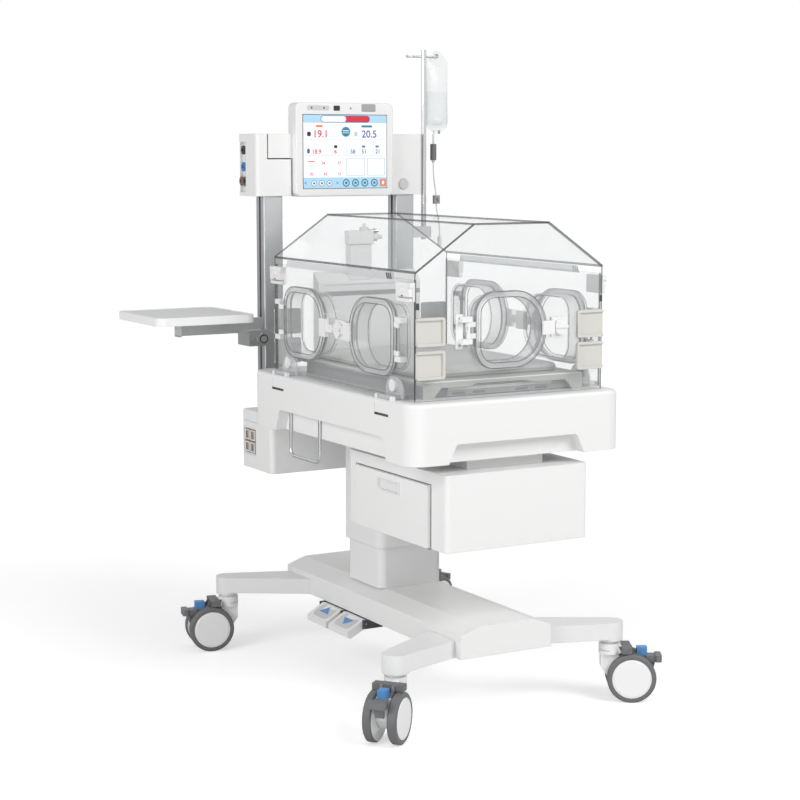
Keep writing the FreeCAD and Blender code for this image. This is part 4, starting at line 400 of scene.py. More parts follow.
def wheel_rule(end):
    """The cover discs inside the grooves are white, the tyres outside them grey."""
    low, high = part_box("caster_%s_wheels" % end)
    hub = (low + high) / 2
    axle = joint_axis("roll_" + end)

    def rule(face):
        away = face.center - hub
        away -= axle * away.dot(axle)
        return 1 if away.length / MM < WHEEL_DISC_RADIUS else 0
    return rule


def joint_row(name):
    """A joint's row in the record."""
    rows = frame["record"]["behaviour"]["joints"]
    return next(row for row in rows if row["name"] == name)


def joint_place(name):
    """A point on a joint's axis."""
    return Vector(joint_row(name)["pos_m"])


def joint_axis(name):
    """The direction of a joint's axis."""
    return Vector(joint_row(name)["axis"]).normalized()


def brake_rule(face):
    """The tab on top of the brake pedal has its own colour."""
    return 1 if face.center.z / MM > BRAKE_TAB_LOW else 0


def slit_rule(face):
    """Painted shade inside the shell's finger slits."""
    x, y, z = local(face.center)
    return 1 if inside(abs(x), SLIT_X) and inside(y, SLIT_Y) and inside(z, SLIT_Z) else 0


def crossbar_rule(face):
    """Painted shadow in the gaps round the display, coloured sensor ports at the left end."""
    x, y, z = local(face.center)
    if x < SENSOR_WINDOW_X and inside(y, SENSOR_WINDOW_Y) and inside(z, SENSOR_WINDOW_Z):
        for colour, (port_y, port_z) in enumerate(SENSOR_PORTS):
            if math.hypot(y - port_y, z - port_z) < SENSOR_PORT_RADIUS and x < SENSOR_WINDOW_X - 1:
                return 2 + colour
        return 6
    if inside(y, RECESS_Y) and inside(z, RECESS_Z) and abs(x) < EAR_REACH:
        faces_gap = abs(face.normal.x) > FACING or y > RECESS_BACK
        return 1 if faces_gap and (abs(x) < RECESS_HALF or z > EAR_LOW) else 0
    return 0


def controller_rule(face):
    """White sockets on the controller's grey-brown panel."""
    x, y, z = local(face.center)
    if x < SOCKET_PANEL_X and inside(y, SOCKET_PANEL_Y) and inside(z, SOCKET_PANEL_Z):
        return 2 if abs(face.normal.x) > FACING and x > SOCKET_PANEL_X - PANEL_THICK else 1
    return 0


def drawer_rule(face):
    """Painted shade: a slightly darker pocket behind the drawer's handle."""
    x, y, z = local(face.center)
    on_front = -CABINET_HALF - HANDLE_DEEP < x < -CABINET_HALF and face.normal.x < -FACING
    return 1 if on_front and inside(y, HANDLE_POCKET_Y) and inside(z, HANDLE_POCKET_Z) else 0


def housing_rule(end):
    """Painted shade in the seam round the caster's stem, and on the fender over the wheels."""
    mesh = NODES["caster_%s_housing" % end].data
    swivel = joint_place("swivel_" + end)

    def rule(face):
        levels = [mesh.vertices[corner].co.z / MM for corner in face.vertices]
        if min(levels) > STEM_SEAM[0] and max(levels) < STEM_SEAM[1]:
            return 1
        away = (face.center - swivel).to_2d().length / MM
        return 2 if away > STEM_RADIUS and max(levels) > FENDER_LOW else 0
    return rule


def groove_rule(face):
    """Painted shade on the bottoms of the uprights' grooves."""
    x, y, z = local(face.center)
    from_side = min(abs(abs(x) - UPRIGHT_INNER), abs(abs(x) - UPRIGHT_OUTER))
    return 1 if abs(face.normal.x) > NEARLY and inside(y, UPRIGHT_Y) and from_side > 1 else 0


def tray_rule(face):
    """A pale lip, and painted shade on the sides under it."""
    level = face.center.z / MM
    if abs(face.normal.x) > NEARLY and level < PLINTH_TOP:
        return 2
    return 1 if level > MATTRESS_TRAY_LIP and abs(face.normal.z) < SQUARE else 0


def drip_rule(face):
    """A dark drip chamber, a grey roller clamp and a white connector on the clear tube."""
    level = face.center.z / MM
    if inside(level, DRIP_CHAMBER):
        return 1
    if inside(level, ROLLER_CLAMP):
        return 2
    return 3 if level < CONNECTOR_TOP else 0


def shelf_rule(face):
    """A grey mat in the shelf's shallow dish."""
    return 1 if face.normal.z > SQUARE and face.center.z / MM < SHELF_MAT_LEVEL else 0


def dress_nodes():
    """Materials and shading for every CAD node."""
    for node in ("base_plate", "drawer_cabinet", "display_unit", "rear_air_duct", "sensor_post"):
        dress(node, WHITE)
    dress("tray_shell", WHITE, SHADE_GREY, rule=slit_rule)
    # The pocket behind the drawer's handle is painted shade
    dress("drawer", WHITE, POWDER_COAT_AND_PAINTED_SHADE, rule=drawer_rule)
    dress("controller_box", WHITE, WHITE_GLOSS, PLATE_GREY, rule=controller_rule)
    dress("crossbar_housing", WHITE, SHADE_GREY, DARK, BLUE, DARK, BROWN, WHITE_GLOSS,
          rule=crossbar_rule)
    for node in ("caster_legs", "support_frame", "column_inner", "column_outer"):
        dress(node, POWDER_COAT_AND_PAINTED_SHADE)
    for node in ("door_latches_left", "door_latches_right", "port_latch_left", "port_latch_right",
                 "port_latch_front"):
        dress(node, WHITE_GLOSS)
    dress("uprights", RAIL, SHADE_GREY, rule=groove_rule)
    for node in ("shelf_arm", "shelf_knob", "iv_bracket"):
        dress(node, CAST)
    for node in ("bail_handle", "iv_pole"):
        dress(node, CHROME)
    dress("hood_canopy", CLEAR, CLEAR_EDGE, rule=canopy_rule)
    dress("hood_front_panel", CLEAR, CLEAR_EDGE, rule=clear_panel_rule(1))
    dress("end_port_frame", WHITE_GLOSS, PORT_RING, PORT_RIM, rule=end_frame_rule)
    for side, hand in ((-1, "left"), (1, "right")):
        dress("door_" + hand, CLEAR, CLEAR_EDGE, rule=clear_panel_rule(0))
        dress("door_fittings_" + hand, WHITE_GLOSS, PORT_RING, PORT_RIM, FITTING_CLEAR, CHROME,
              rule=door_fittings_rule(side))
        for row in ("rear", "front"):
            dress("port_door_%s_%s" % (hand, row), PORT_CLEAR, PORT_RIM, WHITE_GLOSS,
                  rule=port_door_rule(side))
    dress("port_door_front_end", PORT_CLEAR, PORT_RIM, WHITE_GLOSS, rule=port_door_rule(0))
    dress("tubing_grommets", GROMMET)
    dress("mattress_tray", TRAY, TRAY_LIGHT, MID_GREY, rule=tray_rule)
    dress("shelf_top", WHITE, PALE_GREY, rule=shelf_rule)
    dress("power_button", PALE_GREY)
    dress("display_glass", DARK)
    dress("pedal_bracket", DARK)
    for node in ("pedal_raise", "pedal_lower"):
        dress(node, WHITE)
    dress("drip_set", TUBE, SHADE_GREY, MID_GREY, WHITE_GLOSS, rule=drip_rule)
    for end in ("front_left", "front_right", "rear_left", "rear_right"):
        # The seam round each caster's stem and its fender take painted shade
        dress("caster_%s_housing" % end, WHITE_GLOSS, MID_GREY, TYRE_AND_PAINTED_SHADE, rule=housing_rule(end))
        dress("caster_%s_pedal" % end, SHADE_GREY, BLUE, rule=brake_rule)
        dress("caster_%s_wheels" % end, TYRE_AND_PAINTED_SHADE, WHITE_GLOSS, rule=wheel_rule(end))
    for node in NODES:
        soften(node)


# Building pieces
def spot(axis, across, up, level):
    """A point of an outline that lies square to an axis."""
    return {"x": (level, across, up), "y": (across, level, up), "z": (across, up, level)}[axis]


def rounded(left, low, right, high, radius, steps=6):
    """The outline of a rectangle with round corners."""
    outline = []
    corners = [(right, high, 0), (left, high, 90), (left, low, 180), (right, low, 270)]
    for x, y, start in corners:
        x += -radius if x == right else radius
        y += -radius if y == high else radius
        for step in range(steps + 1):
            turn = math.radians(start + 90 * step / steps)
            outline.append((x + radius * math.cos(turn), y + radius * math.sin(turn)))
    return outline


def ring_of(x, y, radius, steps=32, squeeze=1.0):
    """The outline of a circle, or of an ellipse where it is squeezed."""
    turns = [math.tau * step / steps for step in range(steps)]
    return [(x + radius * math.cos(turn), y + radius * squeeze * math.sin(turn)) for turn in turns]


class Shape:
    """Gathers simple forms into one mesh, in millimetres from the hood's middle."""

    def __init__(self, *materials):
        self.mesh = bmesh.new()
        self.materials = materials

    def flat(self, axis, outline, level, finish=0):
        """One flat face."""
        corners = [self.mesh.verts.new(place(*spot(axis, *point, level))) for point in outline]
        self.mesh.faces.new(corners).material_index = finish

    def loft(self, rings, finish=0, closed=False):
        """A skin over rings with as many points each, capped at both ends or closed on itself."""
        rows = [[self.mesh.verts.new(place(*point)) for point in ring] for ring in rings]
        size = len(rows[0])
        pairs = list(zip(rows, rows[1:]))
        if closed:
            pairs.append((rows[-1], rows[0]))
        made = []
        for row, after in pairs:
            for step in range(size):
                along = (step + 1) % size
                made.append(self.mesh.faces.new((row[step], row[along], after[along], after[step])))
        if not closed:
            made.append(self.mesh.faces.new(rows[0]))
            made.append(self.mesh.faces.new(rows[-1]))
        for face in made:
            face.material_index = finish

    def prism(self, axis, outline, start, end, finish=0, edge=0.5):
        """An outline carried from one level to another, with its rims broken."""
        across = [point[0] for point in outline]
        up = [point[1] for point in outline]
        middle = ((min(across) + max(across)) / 2, (min(up) + max(up)) / 2)
        shrink = [1 - 2 * edge / (max(side) - min(side)) for side in (across, up)]
        inner = [tuple(m + (p - m) * s for p, m, s in zip(point, middle, shrink)) for point in outline]
        rings = [(inner, start), (outline, start + edge), (outline, end - edge), (inner, end)]
        self.loft([[spot(axis, *point, level) for point in ring] for ring, level in rings], finish)

    def slab(self, axis, corners, start, end, finish=0, radius=1.0, edge=0.4):
        """A plate with round corners."""
        self.prism(axis, rounded(*corners, radius), start, end, finish, edge)

    def turned(self, axis, across, up, profile, finish=0, squeeze=1.0, steps=32):
        """A turned form: its profile lists radius and level along the axis."""
        rings = [[spot(axis, *point, level) for point in ring_of(across, up, radius, steps, squeeze)]
                 for radius, level in profile]
        self.loft(rings, finish)

    def sweep(self, path, radius, finish=0, closed=False, steps=10):
        """A round bar along a path."""
        points = [Vector(point) for point in path]
        last = len(points) - 1
        rings = []
        for number, point in enumerate(points):
            before = points[number - 1] if closed or number else point
            after = points[(number + 1) % len(points)] if closed or number < last else point
            along = (after - before).normalized()
            side = along.cross(Vector((0, 0, 1)))
            side = side.normalized() if side.length > 0.01 else Vector((1, 0, 0))
            over = side.cross(along)
            turns = [math.tau * step / steps for step in range(steps)]
            rings.append([point + radius * (side * math.cos(turn) + over * math.sin(turn)) for turn in turns])
        self.loft(rings, finish, closed)

    def done(self, name, body, angle=35):
        """Makes the object and lets it ride on a body."""
        bmesh.ops.recalc_face_normals(self.mesh, faces=self.mesh.faces)
        mesh = bpy.data.meshes.new(name)
        self.mesh.to_mesh(mesh)
        self.mesh.free()
        for material in self.materials:
            mesh.materials.append(material)
        for face in mesh.polygons:
            face.use_smooth = True
        mesh.set_sharp_from_angle(angle=math.radians(angle))
        piece = add_object(name, mesh)
        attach(piece, body)
        return piece


def box_of(node):
    """The low and high corners of a node, in millimetres from the hood's middle."""
    low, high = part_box(node)
    return local(low), local(high)


# Mattress, by how far its rings are drawn in and their level, and infusion bag
MATTRESS_INSET = [
    (30, 848.5), (6, 848.6), (1.5, 851), (0, 855), (0, 860), (2, 864), (9, 867), (30, 869),
    (75, 870.4), (140, 871), (195, 871.2),
]
MATTRESS_CORNER = 42
WELT_LEVEL = 857.5
WELT_RADIUS = 1.7
SEAM_Y = -98
SEAM_STEP = 8
SEAM_WAVE = 1.2
SEAM_RADIUS = 0.7
SEAM_LEVEL = 869.4


def make_mattress():
    """A crowned pad with a piped edge and one cross seam."""
    low, high = box_of("mattress")
    shape = Shape(CLOTH, PIPING)
    rings = []
    for inset, level in MATTRESS_INSET:
        radius = max(MATTRESS_CORNER - inset, 4)
        outline = rounded(low[0] + inset, low[1] + inset, high[0] - inset, high[1] - inset, radius, 10)
        rings.append([(x, y, level) for x, y in outline])
    shape.loft(rings)
    edge = rounded(low[0], low[1], high[0], high[1], MATTRESS_CORNER, 10)
    shape.sweep([(x, y, WELT_LEVEL) for x, y in edge], WELT_RADIUS, 1, closed=True)
    seam = [(low[0] + 1 + step * SEAM_STEP, SEAM_Y + SEAM_WAVE * math.sin(step), SEAM_LEVEL)
            for step in range(3, 48)]
    shape.sweep(seam, SEAM_RADIUS, 1)
    mattress = shape.done("mattress_soft", "bed", 60)
    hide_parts("mattress")


BAG_X = 333
BAG_Y = 535
# Level, half width and half thickness of the bag's sections, from its hook down to its foot
BAG_SECTIONS = [
    (1674, 13, 0.7), (1664, 17, 0.7), (1654, 29, 0.8), (1646, 35, 0.9), (1640, 36, 1.6), (1626, 36, 6.5),
    (1600, 35, 10), (1560, 34.6, 13), (1520, 35, 15.6), (1492, 36, 16.6), (1476, 36.2, 13.5),
    (1466, 35, 7), (1460, 33, 2), (1455, 29, 1), (1450, 21, 0.9), (1447, 15, 0.9),
]
FLUID_TOP = 1598
FLUID_LOW = 1461
FILM_GAP = 1
BAG_PORT_X = 8
BAG_EYE_LEVEL = 1663


def bag_rings(sections):
    """Oval rings for sections of the bag."""
    return [[(x, y, level) for x, y in ring_of(BAG_X, BAG_Y, wide, 40, thick / wide)]
            for level, wide, thick in sections]


def make_bag():
    """A film bag that tapers to its foot, with its fluid, two ports and the eye it hangs by."""
    shape = Shape(FILM, FLUID, MID_GREY, TUBE)
    shape.loft(bag_rings(BAG_SECTIONS))
    filled = [row for row in BAG_SECTIONS if FLUID_LOW < row[0] < FLUID_TOP]
    shape.loft(bag_rings([(level, wide - 1.5, thick - FILM_GAP) for level, wide, thick in filled]), 1)
    port = [(3, 1451), (3.4, 1450), (3.4, 1442), (2.8, 1441)]
    for x, finish in ((-BAG_PORT_X, 3), (BAG_PORT_X, 2)):
        shape.turned("z", BAG_X + x, BAG_Y, port, finish, steps=20)
    eye = [(4, BAG_Y - 1.2), (4.6, BAG_Y - 0.9), (4.6, BAG_Y + 0.9), (4, BAG_Y + 1.2)]
    shape.turned("y", BAG_X, BAG_EYE_LEVEL, eye, 2)
    bag = shape.done("infusion_bag_soft", "infusion", 60)
    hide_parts("infusion_bag")


# Display
GLASS_FRONT = 469.5
DISPLAY_FACE = 470
LAMP_BAR = (-118, 1503, -50, 1516)
LAMPS_X = (-104, -66)
LAMPS_LEVEL = 1509.5
DISPLAY_WINDOW = (-36, 1502, -17, 1516)
LIGHT_SENSOR = (17, 1509)
ALARM_LAMP = (51, 1500, 95, 1521)
LAYER = 0.12
NUMBER_OUT = 0.55
NUMBER_WEIGHT = 0.012
# The picture is laid out in steps to the right and down; its corner is the glass's left top
LAYOUT_LEFT = 583
LAYOUT_TOP = 252
GLASS_LEFT = -131.7
GLASS_TOP = 1491.7
STEP_ACROSS = 0.45258
STEP_DOWN = 0.39073


def screen(px, py):
    """The place on the glass of a point of the layout."""
    return GLASS_LEFT + (px - LAYOUT_LEFT) * STEP_ACROSS, GLASS_TOP - (py - LAYOUT_TOP) * STEP_DOWN


def screen_box(shape, left, top, right, low, finish, radius, layer):
    """A box with round corners in the picture."""
    x, z = screen(left, low)
    far, high = screen(right, top)
    shape.flat("y", rounded(x, z, far, high, radius), GLASS_FRONT - LAYER * layer, finish)


def screen_disc(shape, px, py, radius, finish, layer):
    """A disc in the picture."""
    shape.flat("y", ring_of(*screen(px, py), radius, 24), GLASS_FRONT - LAYER * layer, finish)


def screen_number(text, px, py, height, material, number):
    """A plain number over the picture."""
    curve = bpy.data.curves.new("screen_number_%d" % number, "FONT")
    curve.body = text
    curve.size = height * MM
    curve.offset = NUMBER_WEIGHT * height * MM
    curve.align_x = "CENTER"
    curve.align_y = "CENTER"
    curve.materials.append(material)
    x, z = screen(px, py)
    label = add_object(curve.name, curve)
    label.location = place(x, GLASS_FRONT - NUMBER_OUT, z)
    label.rotation_euler = (math.pi / 2, 0, 0)
    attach(label, "display")


SCREEN_COLOURS = (SCREEN_WHITE, SCREEN_BLUE, SCREEN_RED, SCREEN_NAVY, SCREEN_TEAL, SCREEN_ORANGE,
                  SCREEN_GREY, BLACK)
PALE, SKY, RED, NAVY, TEAL, ORANGE, GREY, INK = range(8)
# Left, top, right and low edge in layout steps, colour, corner radius in millimetres, layer
SCREEN_BOXES = [
    (586, 255, 1162, 767, PALE, 3, 1), (586, 255, 1162, 310, SKY, 3, 2), (586, 692, 1162, 767, SKY, 3, 2),
    (704, 259, 1044, 307, NAVY, 9, 3), (708, 263, 880, 303, PALE, 7.5, 4), (874, 263, 1040, 303, RED, 7.5, 4),
    (880, 555, 1010, 680, GREY, 4, 2), (884, 559, 1006, 676, PALE, 3.5, 3),
    (1025, 555, 1150, 680, GREY, 4, 2), (1029, 559, 1146, 676, PALE, 3.5, 3),
    (672, 326, 718, 341, ORANGE, 2, 3), (985, 326, 1060, 341, TEAL, 2, 4),
    (611, 372, 637, 404, INK, 4, 3), (857, 362, 897, 368, PALE, 1, 6), (853, 376, 901, 382, SKY, 1, 6),
    (936, 372, 956, 404, GREY, 3, 4), (611, 490, 629, 524, NAVY, 3, 3), (795, 466, 817, 486, INK, 2, 3),
    (988, 468, 1012, 482, TEAL, 2, 3), (1083, 468, 1107, 482, TEAL, 2, 3), (616, 577, 664, 583, RED, 0.8, 3),
    (1115, 705, 1158, 757, ORANGE, 3, 3), (1129, 718, 1144, 744, PALE, 1.5, 4),
]
# Middle in layout steps, radius in millimetres, colour, layer
SCREEN_DISCS = [(877, 372, 15, SKY, 4), (877, 372, 13, TEAL, 5)]
LEFT_KEYS = (657, 710, 763)
RIGHT_KEYS = (878, 943, 1008, 1075)
KEY_DOWN = 732
DASH_ROWS = (428, 538)
DASH_COLUMNS = (783, 880, 975, 1070)
DASHES_ACROSS = range(596, 1150, 14)
DASHES_DOWN = range(442, 532, 14)
DASH_LONG = 8
DASH_HALF = 2
# Number, middle in layout steps, height in millimetres, colour
SCREEN_NUMBERS = [
    ("19.1", 703, 390, 28, RED), ("20.5", 1040, 390, 28, NAVY), ("18.9", 675, 512, 17, RED),
    ("6", 805, 512, 16, RED), ("58", 925, 512, 16, NAVY), ("51", 1003, 512, 16, NAVY),
    ("21", 1100, 512, 16, NAVY), ("24", 720, 592, 11, RED), ("37", 830, 592, 11, RED),
    ("30", 640, 668, 11, RED), ("42", 735, 668, 11, RED), ("12", 830, 668, 11, RED),
    ("<", 600, 732, 14, TEAL), (">", 818, 732, 14, TEAL),
]


def make_screen():
    """The display's picture: generic bars, boxes and keys with plain numbers."""
    shape = Shape(*SCREEN_COLOURS)
    for row in SCREEN_BOXES:
        screen_box(shape, *row)
    for row in SCREEN_DISCS:
        screen_disc(shape, *row)
    for py in DASH_ROWS:
        for px in DASHES_ACROSS:
            screen_box(shape, px, py - DASH_HALF, px + DASH_LONG, py + DASH_HALF, GREY, 0.3, 3)
    for px in DASH_COLUMNS:
        for py in DASHES_DOWN:
            screen_box(shape, px - DASH_HALF, py, px + DASH_HALF, py + DASH_LONG, GREY, 0.3, 3)
    for px in LEFT_KEYS:
        screen_disc(shape, px, KEY_DOWN, 8.5, TEAL, 3)
        screen_disc(shape, px, KEY_DOWN, 7, PALE, 4)
        screen_box(shape, px - 7, KEY_DOWN - 8, px + 7, KEY_DOWN + 8, TEAL, 2, 5)
    for px in RIGHT_KEYS:
        for layer, (radius, finish) in enumerate(((11, TEAL), (7.6, SKY), (4, TEAL))):
            screen_disc(shape, px, KEY_DOWN - 1, radius, finish, 3 + layer)
    shape.done("screen_picture", "display")
    for number, (text, px, py, height, colour) in enumerate(SCREEN_NUMBERS):
        screen_number(text, px, py, height, SCREEN_COLOURS[colour], number)


def make_display_details():
    """Lamp bar, window, light sensor and alarm lamp over the glass."""
    shape = Shape(MID_GREY, BLACK, LAMP_GREY, PALE_GREY)
    face = DISPLAY_FACE
    shape.slab("y", LAMP_BAR, face - 0.4, face + 0.2, 3, 5, 0.2)
    for x in LAMPS_X:
        shape.turned("y", x, LAMPS_LEVEL, [(2, face - 1), (2.4, face - 0.8), (2.4, face)], 1, steps=16)
    shape.slab("y", DISPLAY_WINDOW, face - 0.8, face + 0.2, 1, 2, 0.2)
    shape.turned("y", *LIGHT_SENSOR, [(2.6, face - 1), (3, face - 0.7), (3, face)], 0, steps=20)
    shape.slab("y", ALARM_LAMP, face - 1.4, face + 0.2, 2, 4, 0.5)
    shape.done("display_lamps", "display")


# Small details
PEDAL_PAD_X = (-186, -143)
PEDAL_PAD_HALF = 43
PEDAL_PAD_ROUND = 17
PEDAL_MARK_X = -164
TRIANGLE = ((0.7, 0), (-0.35, -0.95), (-0.35, 0.95))
ABOVE_PEDALS = 300
OUTSIDE_DOORS = 400
CATCH_STRIPE_Z = (1056, 1058.4)
RAIL_STRIPE_Y = (-262, -253, -244)
RAIL_STRIPE_Z = (1091, 1105)
RAIL_STRIPE_MIDDLE = 1098
CORNER_PAD_LEVELS = (868, 946, 1024)
CORNER_PAD_TALL = 16
END_PLATE = (-159, 926, -139, 1010)
END_PLATE_SCREWS = (936, 1000)
TRAY_PLATE = (-196, 808, 196, 834)
TRAY_BAR = (-150, 822, 150, 830)
TRAY_SLOTS_X = (-120, -62, 62, 120)
TRAY_SLOTS_Z = (811, 817)
TRAY_SLOT_HALF = 18
TRAY_BLOCK = (-190, 809, -152, 831)
TRAY_FOOT_STRIP = (-202, 806.2, 202, 808.6)
TRAY_LIP_STRIP = (-226, 845, 226, 848.3)
TRAY_LIP_FRONT = -345.1
DUCT_SEAL = (-154, 1004, 159, 1016)
DUCT_FRONT = 334.1
NOZZLES_ASIDE = (-6.5, 6.5)
CROSSBAR_END = -256
COLLAR_PROFILE = ((10.3, 0), (12.8, 0), (12.8, 2.6), (10.3, 2.6))
SOCKET_LIP_HALF = 17
SOCKET_HOLE = (9.5, 12)
SOCKET_LIP_X = (-241.2, -243)
SHELF_ARM_LEVELS = (900, 936)
SHELF_ARM_REAR = 538
# The names' last part and the corners, in Y and Z, of the shadow lines round the drawer
DRAWER_GAPS = [
    ("342_440_front", (-342, 440, -339.4, 600)), ("32_440", (32, 440, 36, 600)),
    ("342_597", (-342, 597.4, 29, 600)), ("342_440", (-342, 440, 29, 442.6)),
]


def surface_under(node):
    """The node's surface, to set small pieces on."""
    mesh = NODES[node].data
    corners = [vertex.co.copy() for vertex in mesh.vertices]
    return BVHTree.FromPolygons(corners, [tuple(face.vertices) for face in mesh.polygons])


def meets(surface, start, way):
    """Where a ray from a place first meets a surface, and the surface's direction there."""
    point, normal = surface.ray_cast(place(*start), Vector(way))[:2]
    if point is None:
        raise ValueError("no surface on the ray from %s" % (start,))
    return point, normal


def lifted(surface, x, y, gap):
    """A point over a surface that is looked down on, a gap in millimetres off it."""
    point, normal = meets(surface, (x, y, ABOVE_PEDALS), (0, 0, -1))
    return point + normal * gap * MM


def make_pedal_marks():
    """A pad on each foot pedal with a triangle that points up on one and down on the other."""
    for name, middle, way in (("raise", 287, 1), ("lower", 164, -1)):
        surface = surface_under("pedal_" + name)
        pad = Shape(PALE_GREY)
        outline = rounded(PEDAL_PAD_X[0], middle - PEDAL_PAD_HALF, PEDAL_PAD_X[1], middle + PEDAL_PAD_HALF,
                          PEDAL_PAD_ROUND)
        pad.mesh.faces.new([pad.mesh.verts.new(lifted(surface, x, y, 0.2)) for x, y in outline])
        pad.done("pedal_pad_" + name, "foot_" + name)
        for layer, (reach, material) in enumerate(((32, PALE_BLUE), (26, BLUE))):
            shape = Shape(material)
            points = [(PEDAL_MARK_X + way * x * reach * 0.72, middle + y * reach) for x, y in TRIANGLE]
            corners = [lifted(surface, x, y, 0.4 + 0.4 * layer) for x, y in points]
            shape.mesh.faces.new([shape.mesh.verts.new(corner) for corner in corners])
            shape.done("pedal_mark_%s_%d" % (name, layer), "foot_" + name)


def make_latch_caps():
    """Oval caps over the doors' top catches, and dark stripes on the top rails."""
    for side, hand in ((-1, "left"), (1, "right")):
        catches = surface_under("door_latches_" + hand)
        for row, end in ((-1, "front"), (1, "rear")):
            y = row * CATCH_Y
            face = local(meets(catches, (side * OUTSIDE_DOORS, y, CATCH_Z), (-side, 0, 0))[0])[0]
            shape = Shape(WHITE_GLOSS, DARK)
            profile = [(9, face), (9, face + side), (7.5, face + side * 2.4), (4, face + side * 3)]
            shape.turned("x", y, CATCH_Z, profile, 0, 0.75)
            shape.slab("x", (y - 4, CATCH_STRIPE_Z[0], y + 4, CATCH_STRIPE_Z[1]),
                       face - side * 0.2, face + side * 0.8, 1, 0.8, 0.2)
            shape.done("catch_cap_%s_%s" % (hand, end), "catches_" + hand)
        rail = surface_under("door_fittings_" + hand)
        shape = Shape(DARK)
        low, high = RAIL_STRIPE_Z
        for y in RAIL_STRIPE_Y:
            face = local(meets(rail, (side * OUTSIDE_DOORS, y, RAIL_STRIPE_MIDDLE), (-side, 0, 0))[0])[0]
            outline = [(y - 4, low), (y, low), (y + 5, high), (y + 1, high)]
            shape.prism("x", outline, face - side * 0.1, face + side * 0.9, 0, 0.2)
        shape.done("rail_stripes_" + hand, "door_" + hand)


def make_corner_pads():
    """Dark rubber pads down the hood's upright corners, and the plate beside the end port."""
    shape = Shape(DARK, WHITE_GLOSS, MID_GREY)
    front = -HOOD_END
    for side in (-1, 1):
        left, right = sorted((side * (HOOD_HALF - 9), side * (HOOD_HALF - 1)))
        for z in CORNER_PAD_LEVELS:
            shape.slab("y", (left, z, right, z + CORNER_PAD_TALL), front - 2.2, front - 0.1, 0, 1.5, 0.5)
    shape.slab("y", END_PLATE, front - 4, front - 0.1, 1, 4, 0.8)
    screw = [(2.6, front - 5), (3.2, front - 4.4), (3.2, front - 4)]
    for z in END_PLATE_SCREWS:
        shape.turned("y", (END_PLATE[0] + END_PLATE[2]) / 2, z, screw, 2, steps=20)
    shape.done("hood_corner_pads", "bed")


def port_outline(half, latch, inset):
    """A port's outline about its middle, rounder at its latch than at its hinge, drawn in by an inset."""
    outline = []
    for across, up, start in ((1, 1, 0), (-1, 1, 90), (-1, -1, 180), (1, -1, 270)):
        radius = (LATCH_ROUND if across == latch else HINGE_ROUND) - inset
        x = across * (half - inset - radius)
        z = up * (PORT_HALF_HEIGHT - inset - radius)
        for step in range(CORNER_STEPS + 1):
            turn = math.radians(start + 90 * step / CORNER_STEPS)
            outline.append((x + radius * math.cos(turn), z + radius * math.sin(turn)))
    return outline


def port_lines(name, body, lid_body, half, latch, stand):
    """Fine lines round a port and its lid; stand places a point by its way across, up and out."""
    fixed = Shape(PORT_LINE)
    for inset, out, radius in ((PORT_BAND + 2, -SLEEVE_DEEP, 1.3), (1, RING_THICK - 1, 1.2)):
        path = [stand(across, up, out) for across, up in port_outline(half, latch, inset)]
        fixed.sweep(path, radius, closed=True, steps=8)
    fixed.done("port_edges_" + name, body, 70)
    lid = Shape(PORT_LINE)
    for inset in (1.2, PORT_BAND + 1):
        path = [stand(across, up, LID_FAR - 0.4) for across, up in port_outline(half, latch, inset)]
        lid.sweep(path, 1.1, closed=True, steps=8)
    lid.done("port_lid_edges_" + name, lid_body, 70)


def make_port_lines():
    """Rolled rims of the port sleeves and lids, seen as fine lines."""
    for side, hand in ((-1, "left"), (1, "right")):
        for row, end in ((1, "rear"), (-1, "front")):
            def on_side(across, up, out):
                return side * (HOOD_HALF + out), row * SIDE_PORT_Y + across, SIDE_PORT_Z + up

            name = "%s_%s" % (hand, end)
            port_lines(name, "door_" + hand, "port_door_" + name, SIDE_PORT_HALF, -row, on_side)

    def on_end(across, up, out):
        return END_PORT_X + across, -HOOD_END - out, END_PORT_Z + up

    port_lines("end", "bed", "port_door_front_end", END_PORT_HALF, 1, on_end)


def make_tray_front():
    """A plain bar, slots and strips on the mattress tray's plinth, and a white strip along its lip."""
    shape = Shape(TRAY_LIGHT, MID_GREY, SHADE_GREY, WHITE_GLOSS)
    front = PLINTH_FRONT
    plate = front - 1.1
    shape.slab("y", TRAY_PLATE, front - 1.2, front - 0.1, 1, 3, 0.3)
    shape.slab("y", TRAY_BAR, front - 3, plate, 0, 2, 0.5)
    for x in TRAY_SLOTS_X:
        corners = (x - TRAY_SLOT_HALF, TRAY_SLOTS_Z[0], x + TRAY_SLOT_HALF, TRAY_SLOTS_Z[1])
        shape.slab("y", corners, front - 1.8, plate, 2, 2.5, 0.3)
    shape.slab("y", TRAY_BLOCK, front - 2.4, plate, 2, 3, 0.4)
    shape.slab("y", TRAY_FOOT_STRIP, front - 1.6, plate, 2, 0.6, 0.1)
    shape.slab("y", TRAY_LIP_STRIP, TRAY_LIP_FRONT - 1.3, TRAY_LIP_FRONT, 3, 1, 0.3)
    shape.done("mattress_tray_front", "bed")


